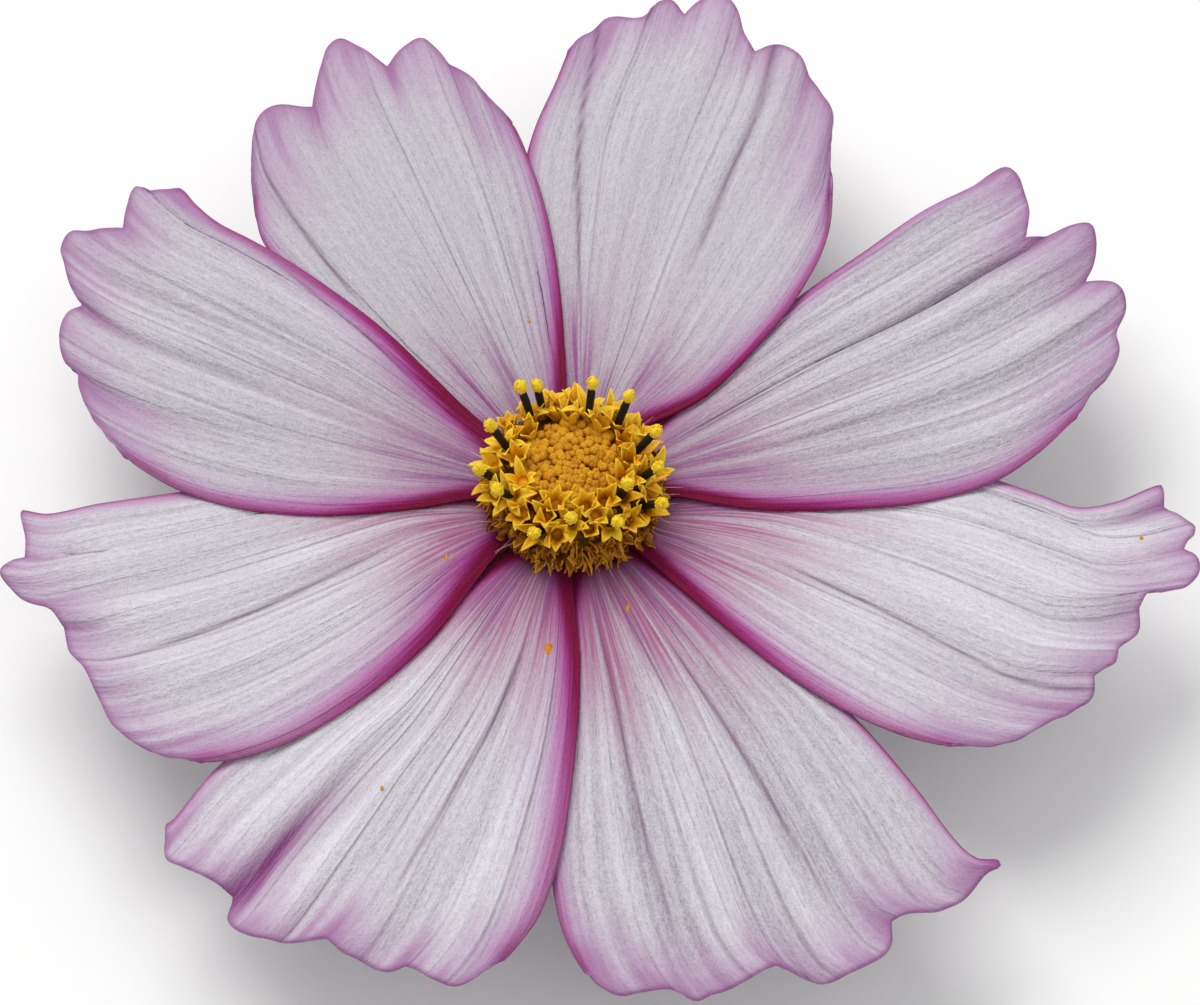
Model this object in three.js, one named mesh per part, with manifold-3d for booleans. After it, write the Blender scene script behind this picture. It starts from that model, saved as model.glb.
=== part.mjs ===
// A picked cosmos flower lying face up: eight ray petals, a disc of florets, two rings of bracts and
// the cut end of the stalk. Millimetres, +Z up, with the origin on the surface that the flower lies on,
// under the middle of its outline.
import * as THREE from "three";
import { mergeVertices } from "three/addons/utils/BufferGeometryUtils.js";
import Module from "manifold-3d";

const wasm = await Module();
wasm.setup();

// ---- Driving dimensions ----------------------------------------------------------------------------

const PETAL_THICKNESS = 0.65; // measured straight up through the blade
const CLAW_RADIUS = 4.3; // where a petal's narrow claw starts
const CLAW_HALF_WIDTH = 1.4;
const CLAW_HEIGHT = 8.0; // middle of the blade at the claw
const PETAL_LENGTH = 34; // from the claw to the tips, on average
const PETAL_RISE = 2.4; // how far the arched blade climbs on its way out
// A side that laps over its neighbour rises by this much, and one that lies under it sinks as much.
const LAP_LIFT = 0.6;
const PLEAT_HEIGHT = 0.28; // of the lengthwise pleats, at the outer margin
const PLEATS = 5; // across one petal
const PETAL_COLUMNS = 20;
const PETAL_ROWS = 10;
const EIGHTH_TURN = Math.PI / 4; // from one petal, or one bract, to the next

const BRACT_THICKNESS = 0.7;
const BRACTS = 8;
const BRACT_ROOT_PHASE = 0.25; // where the swelling of its width starts, in half waves
const BRACT_TIP_PHASE = 0.98; // and where it ends
const BRACT_LEAST_WIDTH = 0.25; // as a share of the greatest
const INNER_BRACT_WIDTH = 4.6;
const OUTER_BRACT_WIDTH = 2.4;
const OUTER_BRACT_GUTTER = 0.3; // how far the side edges stand above the middle, at the root
const STANDING_BRACTS = [0, 3, 5]; // the three that the flower rests on, round its weight
const CUP_RADIUS = 3.6;
const CUP_BOTTOM = 6.2;
const CUP_TOP = 6.85;
const CALYX_TOP = 5.9;
const CALYX_BOTTOM = 3.0;
const STALK_RADIUS = 1.0;
const STALK_TOP = 2.7;
const STALK_END = 0.6;

const BUDS = 42;
const BUD_ZONE_RADIUS = 3.7;
const BUD_SIZE = 0.9; // its greatest width
const BUD_LEAN = 0.12; // radians for each millimetre from the axis
const OPEN_FLORETS = 14;
const OPEN_RING_RADIUS = 4.4;
const OPEN_LEAN = 0.42; // radians from upright
const STAR_REACH = 1.05; // from the middle of an open corolla to the point of a lobe
const STAR_WAIST = 0.5; // and to the notch between two lobes
const COROLLA_HEIGHT = 0.4; // above the dome
const ANTHER_HEIGHT = 3.2; // top of the anther column, above the dome
const OLD_FLORETS = 26;
const OLD_RING_RADIUS = 5.1;
const OLD_FLORET_LENGTH = 1.75;
const OLD_LEAN_OUTER = 1.35; // of the outermost, which reach out over the claws
const OLD_LEAN_INNER = 0.95;
const ROOT_DEPTH = 0.8; // how far a floret's root is sunk in the core

// ---- Petal outlines --------------------------------------------------------------------------------
// Each outline is in the petal's own plan: the first number runs outwards from the flower's axis, the
// second to the left of that. "left" and "right" are the side edges from the claw outwards. "lobes" are
// the rounded teeth of the outer margin from left to right; neighbouring lobes meet in a sharp notch.
// "lapLeft" and "lapRight" are 1 where that side lies over the next petal and -1 where it lies under, and
// "eighths" is the petal's direction round the flower, in eighths of a turn from +X.

const PETALS = [
  {
    name: "petal_1",
    eighths: 2.5,
    lapLeft: -1,
    lapRight: 1,
    left: [[6.0, 3.0], [12.7, 7.1], [21.4, 10.7], [25.8, 11.7], [28.8, 11.1]],
    lobes: [
      [[28.8, 11.1], [31.5, 10.3], [34.7, 8.6], [35.3, 7.2], [34.4, 4.8]],
      [[34.4, 4.8], [37.2, 3.1], [38.6, 2.0], [38.8, 1.1], [37.2, 0.1], [35.2, -0.9]],
      [[35.2, -0.9], [36.4, -2.6], [36.5, -4.0], [35.1, -4.6], [33.9, -4.9]],
      [[33.9, -4.9], [32.6, -5.8], [30.1, -6.4], [28.0, -7.0]],
    ],
    right: [[6.0, -2.1], [9.9, -3.5], [13.7, -4.8], [18.1, -6.0], [22.7, -6.8], [28.0, -7.0]],
  },
  {
    name: "petal_2",
    eighths: 1.5,
    lapLeft: -1,
    lapRight: 1,
    left: [
      [6.0, 3.2], [13.1, 8.7], [18.4, 11.4], [22.0, 12.7], [25.5, 13.3], [29.0, 13.4], [32.0, 13.6],
    ],
    lobes: [
      [[32.0, 13.6], [33.0, 13.3], [33.8, 12.7]],
      [[33.8, 12.7], [35.2, 12.2], [36.2, 9.9], [37.7, 9.6], [38.5, 8.8], [37.8, 7.5]],
      [[37.8, 7.5], [38.9, 7.0], [40.0, 6.0], [39.4, 4.5], [37.4, 2.9], [36.4, 1.8]],
      [[36.4, 1.8], [37.4, 0.4], [37.1, -1.1], [35.8, -2.4]],
      [[35.8, -2.4], [34.7, -3.7], [33.5, -4.9], [30.5, -5.9], [27.5, -7.2]],
    ],
    right: [[6.0, -1.9], [10.1, -5.2], [15.4, -7.2], [19.4, -8.1], [23.6, -8.3], [27.5, -7.2]],
  },
  {
    name: "petal_3",
    eighths: 0.5,
    lapLeft: -1,
    lapRight: 1,
    left: [[6.2, 2.7], [12.8, 5.7], [19.6, 8.3], [24.4, 9.2], [31.1, 11.4], [35.1, 12.2]],
    lobes: [
      [[35.1, 12.2], [36.5, 11.6], [36.9, 10.2], [36.3, 8.2], [35.2, 6.3]],
      [[35.2, 6.3], [37.0, 6.0], [38.7, 5.6], [39.3, 4.6], [38.5, 3.3], [37.1, 1.8]],
      [[37.1, 1.8], [38.5, 0.7], [38.8, -1.3], [37.8, -2.9], [36.5, -4.8], [34.2, -6.6], [32.0, -8.1]],
    ],
    right: [[6.0, -2.6], [10.6, -5.9], [15.3, -8.2], [20.7, -10.2], [26.4, -10.2], [32.0, -8.1]],
  },
  {
    name: "petal_4",
    eighths: -0.5,
    lapLeft: -1,
    lapRight: 1,
    left: [
      [6.0, 3.6], [10.8, 7.5], [16.9, 9.7], [22.0, 10.8], [28.2, 11.0], [31.0, 11.1], [33.1, 12.4],
      [35.1, 14.6],
    ],
    lobes: [
      [[35.1, 14.6], [35.8, 14.1], [36.0, 13.5]],
      [[36.0, 13.5], [37.7, 12.9], [38.3, 12.1], [38.3, 10.5]],
      [[38.3, 10.5], [39.4, 9.8], [39.5, 8.4], [38.5, 7.2], [37.2, 5.8]],
      [[37.2, 5.8], [37.5, 4.2], [37.0, 1.7], [36.0, -0.8]],
      [[36.0, -0.8], [36.2, -1.9], [35.9, -3.2], [32.9, -7.5], [29.5, -9.2]],
    ],
    right: [[6.2, -2.6], [14.3, -6.5], [19.1, -8.3], [24.9, -9.5], [29.5, -9.2]],
  },
  {
    name: "petal_5",
    eighths: -1.5,
    lapLeft: -1,
    lapRight: -1,
    left: [[6.0, 2.8], [13.2, 6.2], [21.5, 9.5], [28.7, 11.4], [33.0, 12.1], [36.0, 13.6]],
    lobes: [
      [[36.0, 13.6], [36.9, 12.4], [37.5, 10.5], [37.7, 8.3], [37.5, 6.1]],
      [[37.5, 6.1], [39.0, 5.4], [39.6, 4.1], [39.8, 1.4], [39.0, -0.2], [37.5, -1.6]],
      [[37.5, -1.6], [38.0, -3.8], [37.9, -6.0], [37.6, -7.6], [36.3, -8.8]],
      [[36.3, -8.8], [36.0, -10.3], [35.0, -11.6], [33.1, -12.6]],
    ],
    right: [[6.0, -1.9], [13.9, -6.6], [20.8, -10.1], [26.7, -12.3], [30.4, -12.9], [33.1, -12.6]],
  },
  {
    name: "petal_6",
    eighths: -2.5,
    lapLeft: 1,
    lapRight: -1,
    left: [[6.1, 2.5], [11.9, 5.4], [18.4, 7.8], [25.6, 9.8], [30.5, 10.3], [33.8, 9.5]],
    lobes: [
      [[33.8, 9.5], [36.8, 7.5], [36.9, 5.8], [36.5, 4.0]],
      [[36.5, 4.0], [37.2, 2.9], [37.0, 1.3], [37.4, -0.2], [36.9, -1.4]],
      [[36.9, -1.4], [37.7, -3.2], [38.2, -5.4], [37.8, -7.1], [36.0, -7.8]],
      [[36.0, -7.8], [35.8, -9.5], [35.3, -11.8], [34.2, -13.1], [32.0, -13.6]],
    ],
    right: [[6.4, -2.2], [11.8, -4.3], [17.0, -6.9], [22.3, -10.1], [27.7, -12.7], [32.0, -13.6]],
  },
  {
    name: "petal_7",
    eighths: -3.5,
    lapLeft: 1,
    lapRight: -1,
    left: [[6.2, 2.3], [12.8, 7.1], [19.4, 10.1], [25.2, 11.2], [29.6, 10.5]],
    lobes: [
      [[29.6, 10.5], [32.5, 8.3], [33.8, 6.3], [34.0, 3.5], [34.1, 0.7], [34.1, -2.1]],
      [[34.1, -2.1], [35.0, -4.3], [36.2, -5.9], [36.3, -7.5], [34.3, -8.5]],
      [[34.3, -8.5], [34.2, -10.2], [33.6, -11.8]],
    ],
    right: [
      [6.0, -3.4], [10.0, -6.4], [13.3, -7.5], [19.2, -8.5], [23.7, -9.3], [28.0, -10.3], [33.6, -11.8],
    ],
  },
  {
    name: "petal_8",
    eighths: 3.5,
    lapLeft: 1,
    lapRight: 1,
    left: [[6.0, 2.8], [9.8, 5.6], [15.4, 8.8], [21.8, 10.3], [27.5, 9.5]],
    lobes: [
      [[27.5, 9.5], [31.2, 7.2], [32.6, 5.6], [33.2, 4.5]],
      [[33.2, 4.5], [34.5, 3.9], [35.4, 2.6], [35.7, 0.9], [35.2, -0.4]],
      [[35.2, -0.4], [37.3, -2.6], [38.3, -4.0], [38.1, -5.4], [36.8, -6.1], [35.1, -6.5]],
      [[35.1, -6.5], [35.9, -8.1], [35.6, -9.8], [34.4, -10.4], [32.9, -10.9]],
    ],
    right: [[6.4, -2.4], [11.3, -4.4], [16.5, -6.6], [23.1, -8.5], [27.9, -9.5], [32.9, -10.9]],
  },
];

// ---- Materials -------------------------------------------------------------------------------------

const petalMaterial = new THREE.MeshStandardMaterial({ color: 0xcfc6d0, roughness: 0.65 });
const discMaterial = new THREE.MeshStandardMaterial({ color: 0xc0841b, roughness: 0.7 });
const innerBractMaterial = new THREE.MeshStandardMaterial({ color: 0x9a8a52, roughness: 0.6 });
const outerBractMaterial = new THREE.MeshStandardMaterial({ color: 0x5c7a3a, roughness: 0.6 });
const stalkMaterial = new THREE.MeshStandardMaterial({ color: 0x6d8a42, roughness: 0.6 });

// ---- Closed sheets and solids ----------------------------------------------------------------------

// A closed blade from a grid of middle points, rows[i][j]: both faces are split into the same triangles,
// half the thickness above and below, and a rim joins them.
function bladeGeometry(rows, thickness) {
  const rowCount = rows.length;
  const columnCount = rows[0].length;
  const positions = [];
  for (const side of [0.5, -0.5]) {
    for (const point of rows.flat()) positions.push(point.x, point.y, point.z + side * thickness);
  }
  const under = rowCount * columnCount;
  const at = (i, j) => i * columnCount + j;
  const index = [];
  for (let i = 0; i < rowCount - 1; i++) {
    for (let j = 0; j < columnCount - 1; j++) {
      const [a, b, c, d] = [at(i, j), at(i + 1, j), at(i + 1, j + 1), at(i, j + 1)];
      index.push(a, d, c, a, c, b);
      index.push(under + a, under + c, under + d, under + a, under + b, under + c);
    }
  }
  const rim = [];
  for (let i = 0; i < rowCount - 1; i++) rim.push(at(i, 0));
  for (let j = 0; j < columnCount - 1; j++) rim.push(at(rowCount - 1, j));
  for (let i = rowCount - 1; i > 0; i--) rim.push(at(i, columnCount - 1));
  for (let j = columnCount - 1; j > 0; j--) rim.push(at(0, j));
  rim.forEach((a, n) => {
    const b = rim[(n + 1) % rim.length];
    index.push(a, under + b, under + a, a, b, under + b);
  });
  const geometry = new THREE.BufferGeometry();
  geometry.setAttribute("position", new THREE.Float32BufferAttribute(positions, 3));
  geometry.setIndex(index);
  return geometry;
}

function solidFrom(geometry) {
  const bare = geometry.clone();
  bare.deleteAttribute("normal");
  bare.deleteAttribute("uv");
  const merged = mergeVertices(bare, 1e-4);
  return new wasm.Manifold(
    new wasm.Mesh({
      numProp: 3,
      vertProperties: merged.attributes.position.array,
      triVerts: new Uint32Array(merged.index.array),
    }),
  );
}

function geometryFrom(solid) {
  const mesh = solid.getMesh();
  const geometry = new THREE.BufferGeometry();
  geometry.setAttribute("position", new THREE.BufferAttribute(mesh.vertProperties, 3));
  geometry.setIndex(new THREE.BufferAttribute(mesh.triVerts, 1));
  return geometry;
}

function joined(geometries) {
  return geometries.map(solidFrom).reduce((whole, next) => whole.add(next));
}

// ---- Petals ----------------------------------------------------------------------------------------

function curveThrough(points) {
  return new THREE.CatmullRomCurve3(
    points.map(([x, y]) => new THREE.Vector3(x, y, 0)),
    false,
    "centripetal",
  );
}

// Points along the outer margin, spread over the lobes by their length, so that every notch is a point.
function marginPoints(lobes, columns) {
  const curves = lobes.map(curveThrough);
  const total = curves.reduce((sum, curve) => sum + curve.getLength(), 0);
  const points = [curves[0].getPoint(0)];
  let reached = 0;
  curves.forEach((curve) => {
    const start = Math.round((reached / total) * columns);
    reached += curve.getLength();
    const end = Math.round((reached / total) * columns);
    for (let k = 1; k <= end - start; k++) points.push(curve.getPointAt(k / (end - start)));
  });
  return points;
}

// Height of the middle of the blade at a place in the petal's plan. "across" runs from 0 at the left
// edge to 1 at the right edge, "along" from 0 at the claw to 1 at the outer margin.
function petalHeight(petal, place, across, along) {
  const arch = PETAL_RISE * Math.sin(0.6 * Math.PI * ((place.x - CLAW_RADIUS) / PETAL_LENGTH));
  const offset = place.y / (Math.tan(EIGHTH_TURN / 2) * Math.hypot(place.x, place.y));
  const bothSidesAlike = petal.lapLeft === petal.lapRight;
  const lap = LAP_LIFT * petal.lapLeft * (bothSidesAlike ? offset * offset : offset);
  const fromMiddle = 2 * across - 1;
  const pleat = Math.cos(2 * Math.PI * PLEATS * across) * (1 - fromMiddle * fromMiddle) * along * along;
  return CLAW_HEIGHT + arch + lap + PLEAT_HEIGHT * pleat;
}

// A petal's outline is filled with a patch that blends its four edges, so that the columns fan out from
// the claw to the lobes.
function petalGeometry(petal) {
  const left = curveThrough([[CLAW_RADIUS, CLAW_HALF_WIDTH], ...petal.left]);
  const right = curveThrough([[CLAW_RADIUS, -CLAW_HALF_WIDTH], ...petal.right]);
  const margin = marginPoints(petal.lobes, PETAL_COLUMNS);
  const [clawLeft, clawRight] = [left.getPoint(0), right.getPoint(0)];
  const [tipLeft, tipRight] = [margin[0], margin[PETAL_COLUMNS]];
  const rows = [];
  for (let i = 0; i <= PETAL_ROWS; i++) {
    const along = i / PETAL_ROWS;
    const [edgeLeft, edgeRight] = [left.getPointAt(along), right.getPointAt(along)];
    const row = [];
    for (let j = 0; j <= PETAL_COLUMNS; j++) {
      const across = j / PETAL_COLUMNS;
      const place = new THREE.Vector3()
        .lerpVectors(new THREE.Vector3().lerpVectors(clawLeft, clawRight, across), margin[j], along)
        .add(new THREE.Vector3().lerpVectors(edgeLeft, edgeRight, across))
        .sub(
          new THREE.Vector3().lerpVectors(
            new THREE.Vector3().lerpVectors(clawLeft, clawRight, across),
            new THREE.Vector3().lerpVectors(tipLeft, tipRight, across),
            along,
          ),
        );
      place.z = petalHeight(petal, place, across, along);
      row.push(place);
    }
    rows.push(row);
  }
  return bladeGeometry(rows, PETAL_THICKNESS);
}

// ---- Bracts ----------------------------------------------------------------------------------------

// One bract: "spine" is its middle line as [radius, height] points, and its width swells from the root
// and narrows to the tip. "gutter" is how far its side edges stand above its middle at the root.
function bractGeometry(spine, width, gutter, turn) {
  const curve = curveThrough(spine);
  const [steps, columns] = [6, 2];
  const rows = [];
  for (let i = 0; i <= steps; i++) {
    const along = i / steps;
    const middle = curve.getPointAt(along);
    const swell = Math.sin(Math.PI * THREE.MathUtils.lerp(BRACT_ROOT_PHASE, BRACT_TIP_PHASE, along));
    const halfWidth = 0.5 * width * THREE.MathUtils.lerp(BRACT_LEAST_WIDTH, 1, swell);
    const row = [];
    for (let j = 0; j <= columns; j++) {
      const aside = 1 - (2 * j) / columns;
      const lift = gutter * aside * aside * (1 - along);
      row.push(new THREE.Vector3(middle.x, halfWidth * aside, middle.y + lift));
    }
    rows.push(row);
  }
  return bladeGeometry(rows, BRACT_THICKNESS).rotateZ(turn);
}

function turnedSolid(profile, segments) {
  const points = profile.map(([radius, height]) => new THREE.Vector2(radius, height));
  return new THREE.LatheGeometry(points, segments).rotateX(Math.PI / 2);
}

// The inner bracts grow from the rim of a thin round cup and lie under the petals.
function innerBractsGeometry() {
  const cup = turnedSolid(
    [[0, CUP_BOTTOM], [CUP_RADIUS, CUP_BOTTOM], [CUP_RADIUS, CUP_TOP], [0, CUP_TOP]],
    24,
  );
  const spine = [[2.4, 6.5], [5.0, 6.48], [7.6, 6.68], [9.6, 6.95]];
  const blades = [];
  for (let n = 0; n < BRACTS; n++) {
    blades.push(bractGeometry(spine, INNER_BRACT_WIDTH, 0, n * EIGHTH_TURN));
  }
  return geometryFrom(joined([cup, ...blades]));
}

// The outer bracts spread from the calyx and bend down. Three of them reach the surface, where their
// tips are pressed flat, and the others stay clear of it.
function outerBractsGeometry() {
  const calyx = turnedSolid(
    [
      [0, CALYX_BOTTOM], [1.3, CALYX_BOTTOM], [1.7, 3.6], [2.7, 4.6],
      [3.1, 5.3], [3.1, CALYX_TOP], [0, CALYX_TOP],
    ],
    20,
  );
  const standing = [[2.0, 5.0], [5.0, 4.7], [7.4, 2.4], [9.0, 0.6], [10.4, 0.3]];
  const spreading = [[2.0, 5.0], [5.0, 5.0], [8.0, 4.3], [11.0, 2.4]];
  const blades = [];
  for (let n = 0; n < BRACTS; n++) {
    const spine = STANDING_BRACTS.includes(n) ? standing : spreading;
    blades.push(bractGeometry(spine, OUTER_BRACT_WIDTH, OUTER_BRACT_GUTTER, (n + 0.5) * EIGHTH_TURN));
  }
  const belowSurface = solidFrom(new THREE.BoxGeometry(60, 60, 10).translate(0, 0, -5));
  return geometryFrom(joined([calyx, ...blades]).subtract(belowSurface));
}

function stalkGeometry() {
  return new THREE.CylinderGeometry(STALK_RADIUS * 1.1, STALK_RADIUS, STALK_TOP - STALK_END, 16)
    .rotateX(Math.PI / 2)
    .translate(0, 0, (STALK_TOP + STALK_END) / 2);
}

// ---- Disc florets ----------------------------------------------------------------------------------

// A repeatable stream of numbers from 0 to 1.
function seededDraws(seed) {
  let state = seed;
  return () => {
    state = (state * 1664525 + 1013904223) % 4294967296;
    return state / 4294967296;
  };
}

// The core that the florets stand on, as [radius, height] points: its plug goes down between the claws
// to the cup, and its dome spreads over them.
const CORE_PLUG = [[0, 7.15], [3.6, 7.15], [3.9, 7.4], [3.9, 9.0], [4.6, 9.4], [5.2, 9.7]];
const CORE_DOME = [[5.3, 10.1], [4.9, 10.9], [4.2, 11.5], [3.2, 11.9], [1.6, 12.2], [0, 12.3]];

// Height of the dome at a radius.
function domeHeight(radius) {
  const inner = CORE_DOME.findIndex(([r]) => r < radius);
  const [[outerRadius, low], [innerRadius, high]] = [CORE_DOME[inner - 1], CORE_DOME[inner]];
  return THREE.MathUtils.mapLinear(radius, outerRadius, innerRadius, low, high);
}

// Places a shape that stands along +Z on the dome, leaning outwards by "lean".
function placedOnDome(geometry, angle, radius, lean) {
  return geometry.rotateY(lean).translate(radius, 0, domeHeight(radius)).rotateZ(angle);
}

function budGeometry(size) {
  return turnedSolid([[0, -0.5], [0.5, -0.1], [0.44, 0.5], [0, 0.9]], 6).scale(size, size, size);
}

// An open floret: a slim tube, a five-pointed corolla and the column of anthers with its pollen head.
function openFloretGeometries() {
  const star = new THREE.Shape();
  for (let n = 0; n < 10; n++) {
    const reach = n % 2 ? STAR_WAIST : STAR_REACH;
    const angle = (n * Math.PI) / 5;
    star[n ? "lineTo" : "moveTo"](reach * Math.cos(angle), reach * Math.sin(angle));
  }
  const tube = turnedSolid([[0, -ROOT_DEPTH], [0.3, -ROOT_DEPTH], [0.45, 0.55], [0, 0.55]], 5);
  const corolla = new THREE.ExtrudeGeometry(star, { depth: 0.35, bevelEnabled: false });
  corolla.translate(0, 0, COROLLA_HEIGHT);
  const column = turnedSolid(
    [[0, 0.5], [0.27, 0.5], [0.3, ANTHER_HEIGHT - 0.6], [0.44, ANTHER_HEIGHT - 0.3], [0, ANTHER_HEIGHT]],
    5,
  );
  return [tube, corolla, column];
}

function oldFloretGeometry(length) {
  return turnedSolid([[0, -ROOT_DEPTH], [0.25, -ROOT_DEPTH], [0.42, length - 0.4], [0, length]], 5);
}

// The florets of one head: closed buds in a sunflower spiral in the middle, a ring of open florets round
// them, and withered ones leaning out over the petals' claws.
function discGeometry() {
  const draw = seededDraws(7);
  const around = (between) => (draw() - 0.5) * between;
  const goldenAngle = Math.PI * (3 - Math.sqrt(5));
  const pieces = [turnedSolid([...CORE_PLUG, ...CORE_DOME], 16)];
  for (let n = 0; n < BUDS; n++) {
    const radius = BUD_ZONE_RADIUS * Math.sqrt((n + 0.5) / BUDS);
    const bud = budGeometry(BUD_SIZE + around(0.2));
    pieces.push(placedOnDome(bud, n * goldenAngle, radius, BUD_LEAN * radius));
  }
  for (let n = 0; n < OPEN_FLORETS; n++) {
    const angle = ((n + around(0.4)) * 2 * Math.PI) / OPEN_FLORETS;
    const radius = OPEN_RING_RADIUS + around(0.5);
    const lean = OPEN_LEAN + around(0.3);
    for (const shape of openFloretGeometries()) pieces.push(placedOnDome(shape, angle, radius, lean));
  }
  for (let n = 0; n < OLD_FLORETS; n++) {
    const angle = ((n + around(0.5)) * 2 * Math.PI) / OLD_FLORETS;
    const radius = OLD_RING_RADIUS - (n % 2) * 0.35;
    const lean = (n % 2 ? OLD_LEAN_INNER : OLD_LEAN_OUTER) + around(0.3);
    const floret = oldFloretGeometry(OLD_FLORET_LENGTH + around(0.5));
    pieces.push(placedOnDome(floret, angle, radius, lean));
  }
  return geometryFrom(joined(pieces));
}

// ---- The flower ------------------------------------------------------------------------------------

function namedMesh(name, geometry, material) {
  const mesh = new THREE.Mesh(geometry, material.clone());
  mesh.name = name;
  return mesh;
}

const flower = new THREE.Group();

for (const petal of PETALS) {
  const mesh = namedMesh(petal.name, petalGeometry(petal), petalMaterial);
  mesh.rotation.z = petal.eighths * EIGHTH_TURN;
  flower.add(mesh);
}
flower.add(namedMesh("disc_florets", discGeometry(), discMaterial));
flower.add(namedMesh("inner_bracts", innerBractsGeometry(), innerBractMaterial));
flower.add(namedMesh("outer_bracts", outerBractsGeometry(), outerBractMaterial));
flower.add(namedMesh("stalk_stub", stalkGeometry(), stalkMaterial));

// The petals differ in length, so the flower is shifted to bring the middle of its outline to the origin.
const middle = new THREE.Box3().setFromObject(flower, true).getCenter(new THREE.Vector3());
flower.position.set(-middle.x, -middle.y, 0);

export default flower;
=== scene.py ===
"""A picked cosmos flower lying face up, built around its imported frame.

The petals, the disc's florets, the bracts and the stalk's cut end are surfaces worked out in millimetres
in the flower's own plan, with the flower's axis at x = y = 0, and moved to the frame in metres at the end.
"""
import math

import bpy
import numpy as np
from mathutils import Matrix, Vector


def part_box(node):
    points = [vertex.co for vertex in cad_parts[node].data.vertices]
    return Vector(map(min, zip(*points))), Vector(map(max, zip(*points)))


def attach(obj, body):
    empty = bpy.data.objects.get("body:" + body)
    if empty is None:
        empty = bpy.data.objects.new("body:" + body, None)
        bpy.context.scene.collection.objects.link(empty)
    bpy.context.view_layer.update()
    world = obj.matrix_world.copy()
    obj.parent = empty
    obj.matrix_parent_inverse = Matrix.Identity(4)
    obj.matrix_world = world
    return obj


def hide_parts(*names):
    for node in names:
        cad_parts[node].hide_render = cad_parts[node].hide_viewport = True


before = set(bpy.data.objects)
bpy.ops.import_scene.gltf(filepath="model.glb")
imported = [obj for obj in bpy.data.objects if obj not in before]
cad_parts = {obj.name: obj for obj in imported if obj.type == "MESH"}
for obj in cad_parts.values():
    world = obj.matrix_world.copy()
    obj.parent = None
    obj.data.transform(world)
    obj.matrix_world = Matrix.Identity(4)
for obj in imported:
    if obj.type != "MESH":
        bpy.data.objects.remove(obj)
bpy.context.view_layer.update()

bl_info = {
    "name": "Cosmos Flower",
    "version": (1, 0, 0),
    "blender": (4, 5, 0),
    "location": "View3D > Sidebar > Cosmos",
    "description": "Builds a cosmos flower: petals, disc florets, bracts, stalk and stage",
    "category": "Object",
}

MM = 0.001
EIGHTH_TURN = math.pi / 4
GOLDEN_ANGLE = math.pi * (3 - math.sqrt(5))
SEED = 20

# A smooth curve is worked out in this many steps between two points, which lie at least so far apart.
CURVE_STEPS = 40
LEAST_GAP = 1e-4

# The stalk stands on the flower's axis, so the middle of its box gives the axis in the frame.
STALK_LOW, STALK_HIGH = (np.array(corner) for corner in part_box("stalk_stub"))
AXIS = np.array([*((STALK_LOW + STALK_HIGH) / 2)[:2], 0.0])

# A petal leaves the disc by its narrow claw, rises in a shallow arch and is lifted where it laps.
CLAW_RADIUS = 4.3
CLAW_HALF_WIDTH = 1.85
CLAW_ROOT = (3.8, 1.6)
CLAW_HEIGHT = 8.0
PETAL_LENGTH = 34.0
PETAL_RISE = 2.4
LAP_LIFT = 0.34

# Its relief: heights, depths and the widths over which each dies away sideways. A stain is the width of
# the coloured line that goes with a form: along a crease a line of painted shade, along a valley a mauve
# stain that is partly painted shade, and at a notch a mauve stain. A claw streak's width is a share of the
# blade's.
PLEATS = 5
PLEAT_HEIGHT = 0.42
RIB_HEIGHT = 0.05
CREASE_WIDTH = 0.55
CREASE_SHADE_WIDTH = 0.13
VALLEY_WIDTH = 0.9
VALLEY_STAIN_AND_SHADE = 1.1
NOTCH_DEPTH = 0.18
NOTCH_WIDTH = 0.6
NOTCH_STAIN = 0.45
CLAW_STREAKS = 5
CLAW_STREAK_SHARE = 0.055
EDGE_ROLL = 0.30
EDGE_ROLL_WIDTH = 1.4
MARGIN_WAVE = 0.22
TIP_THINNING = 0.4
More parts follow.
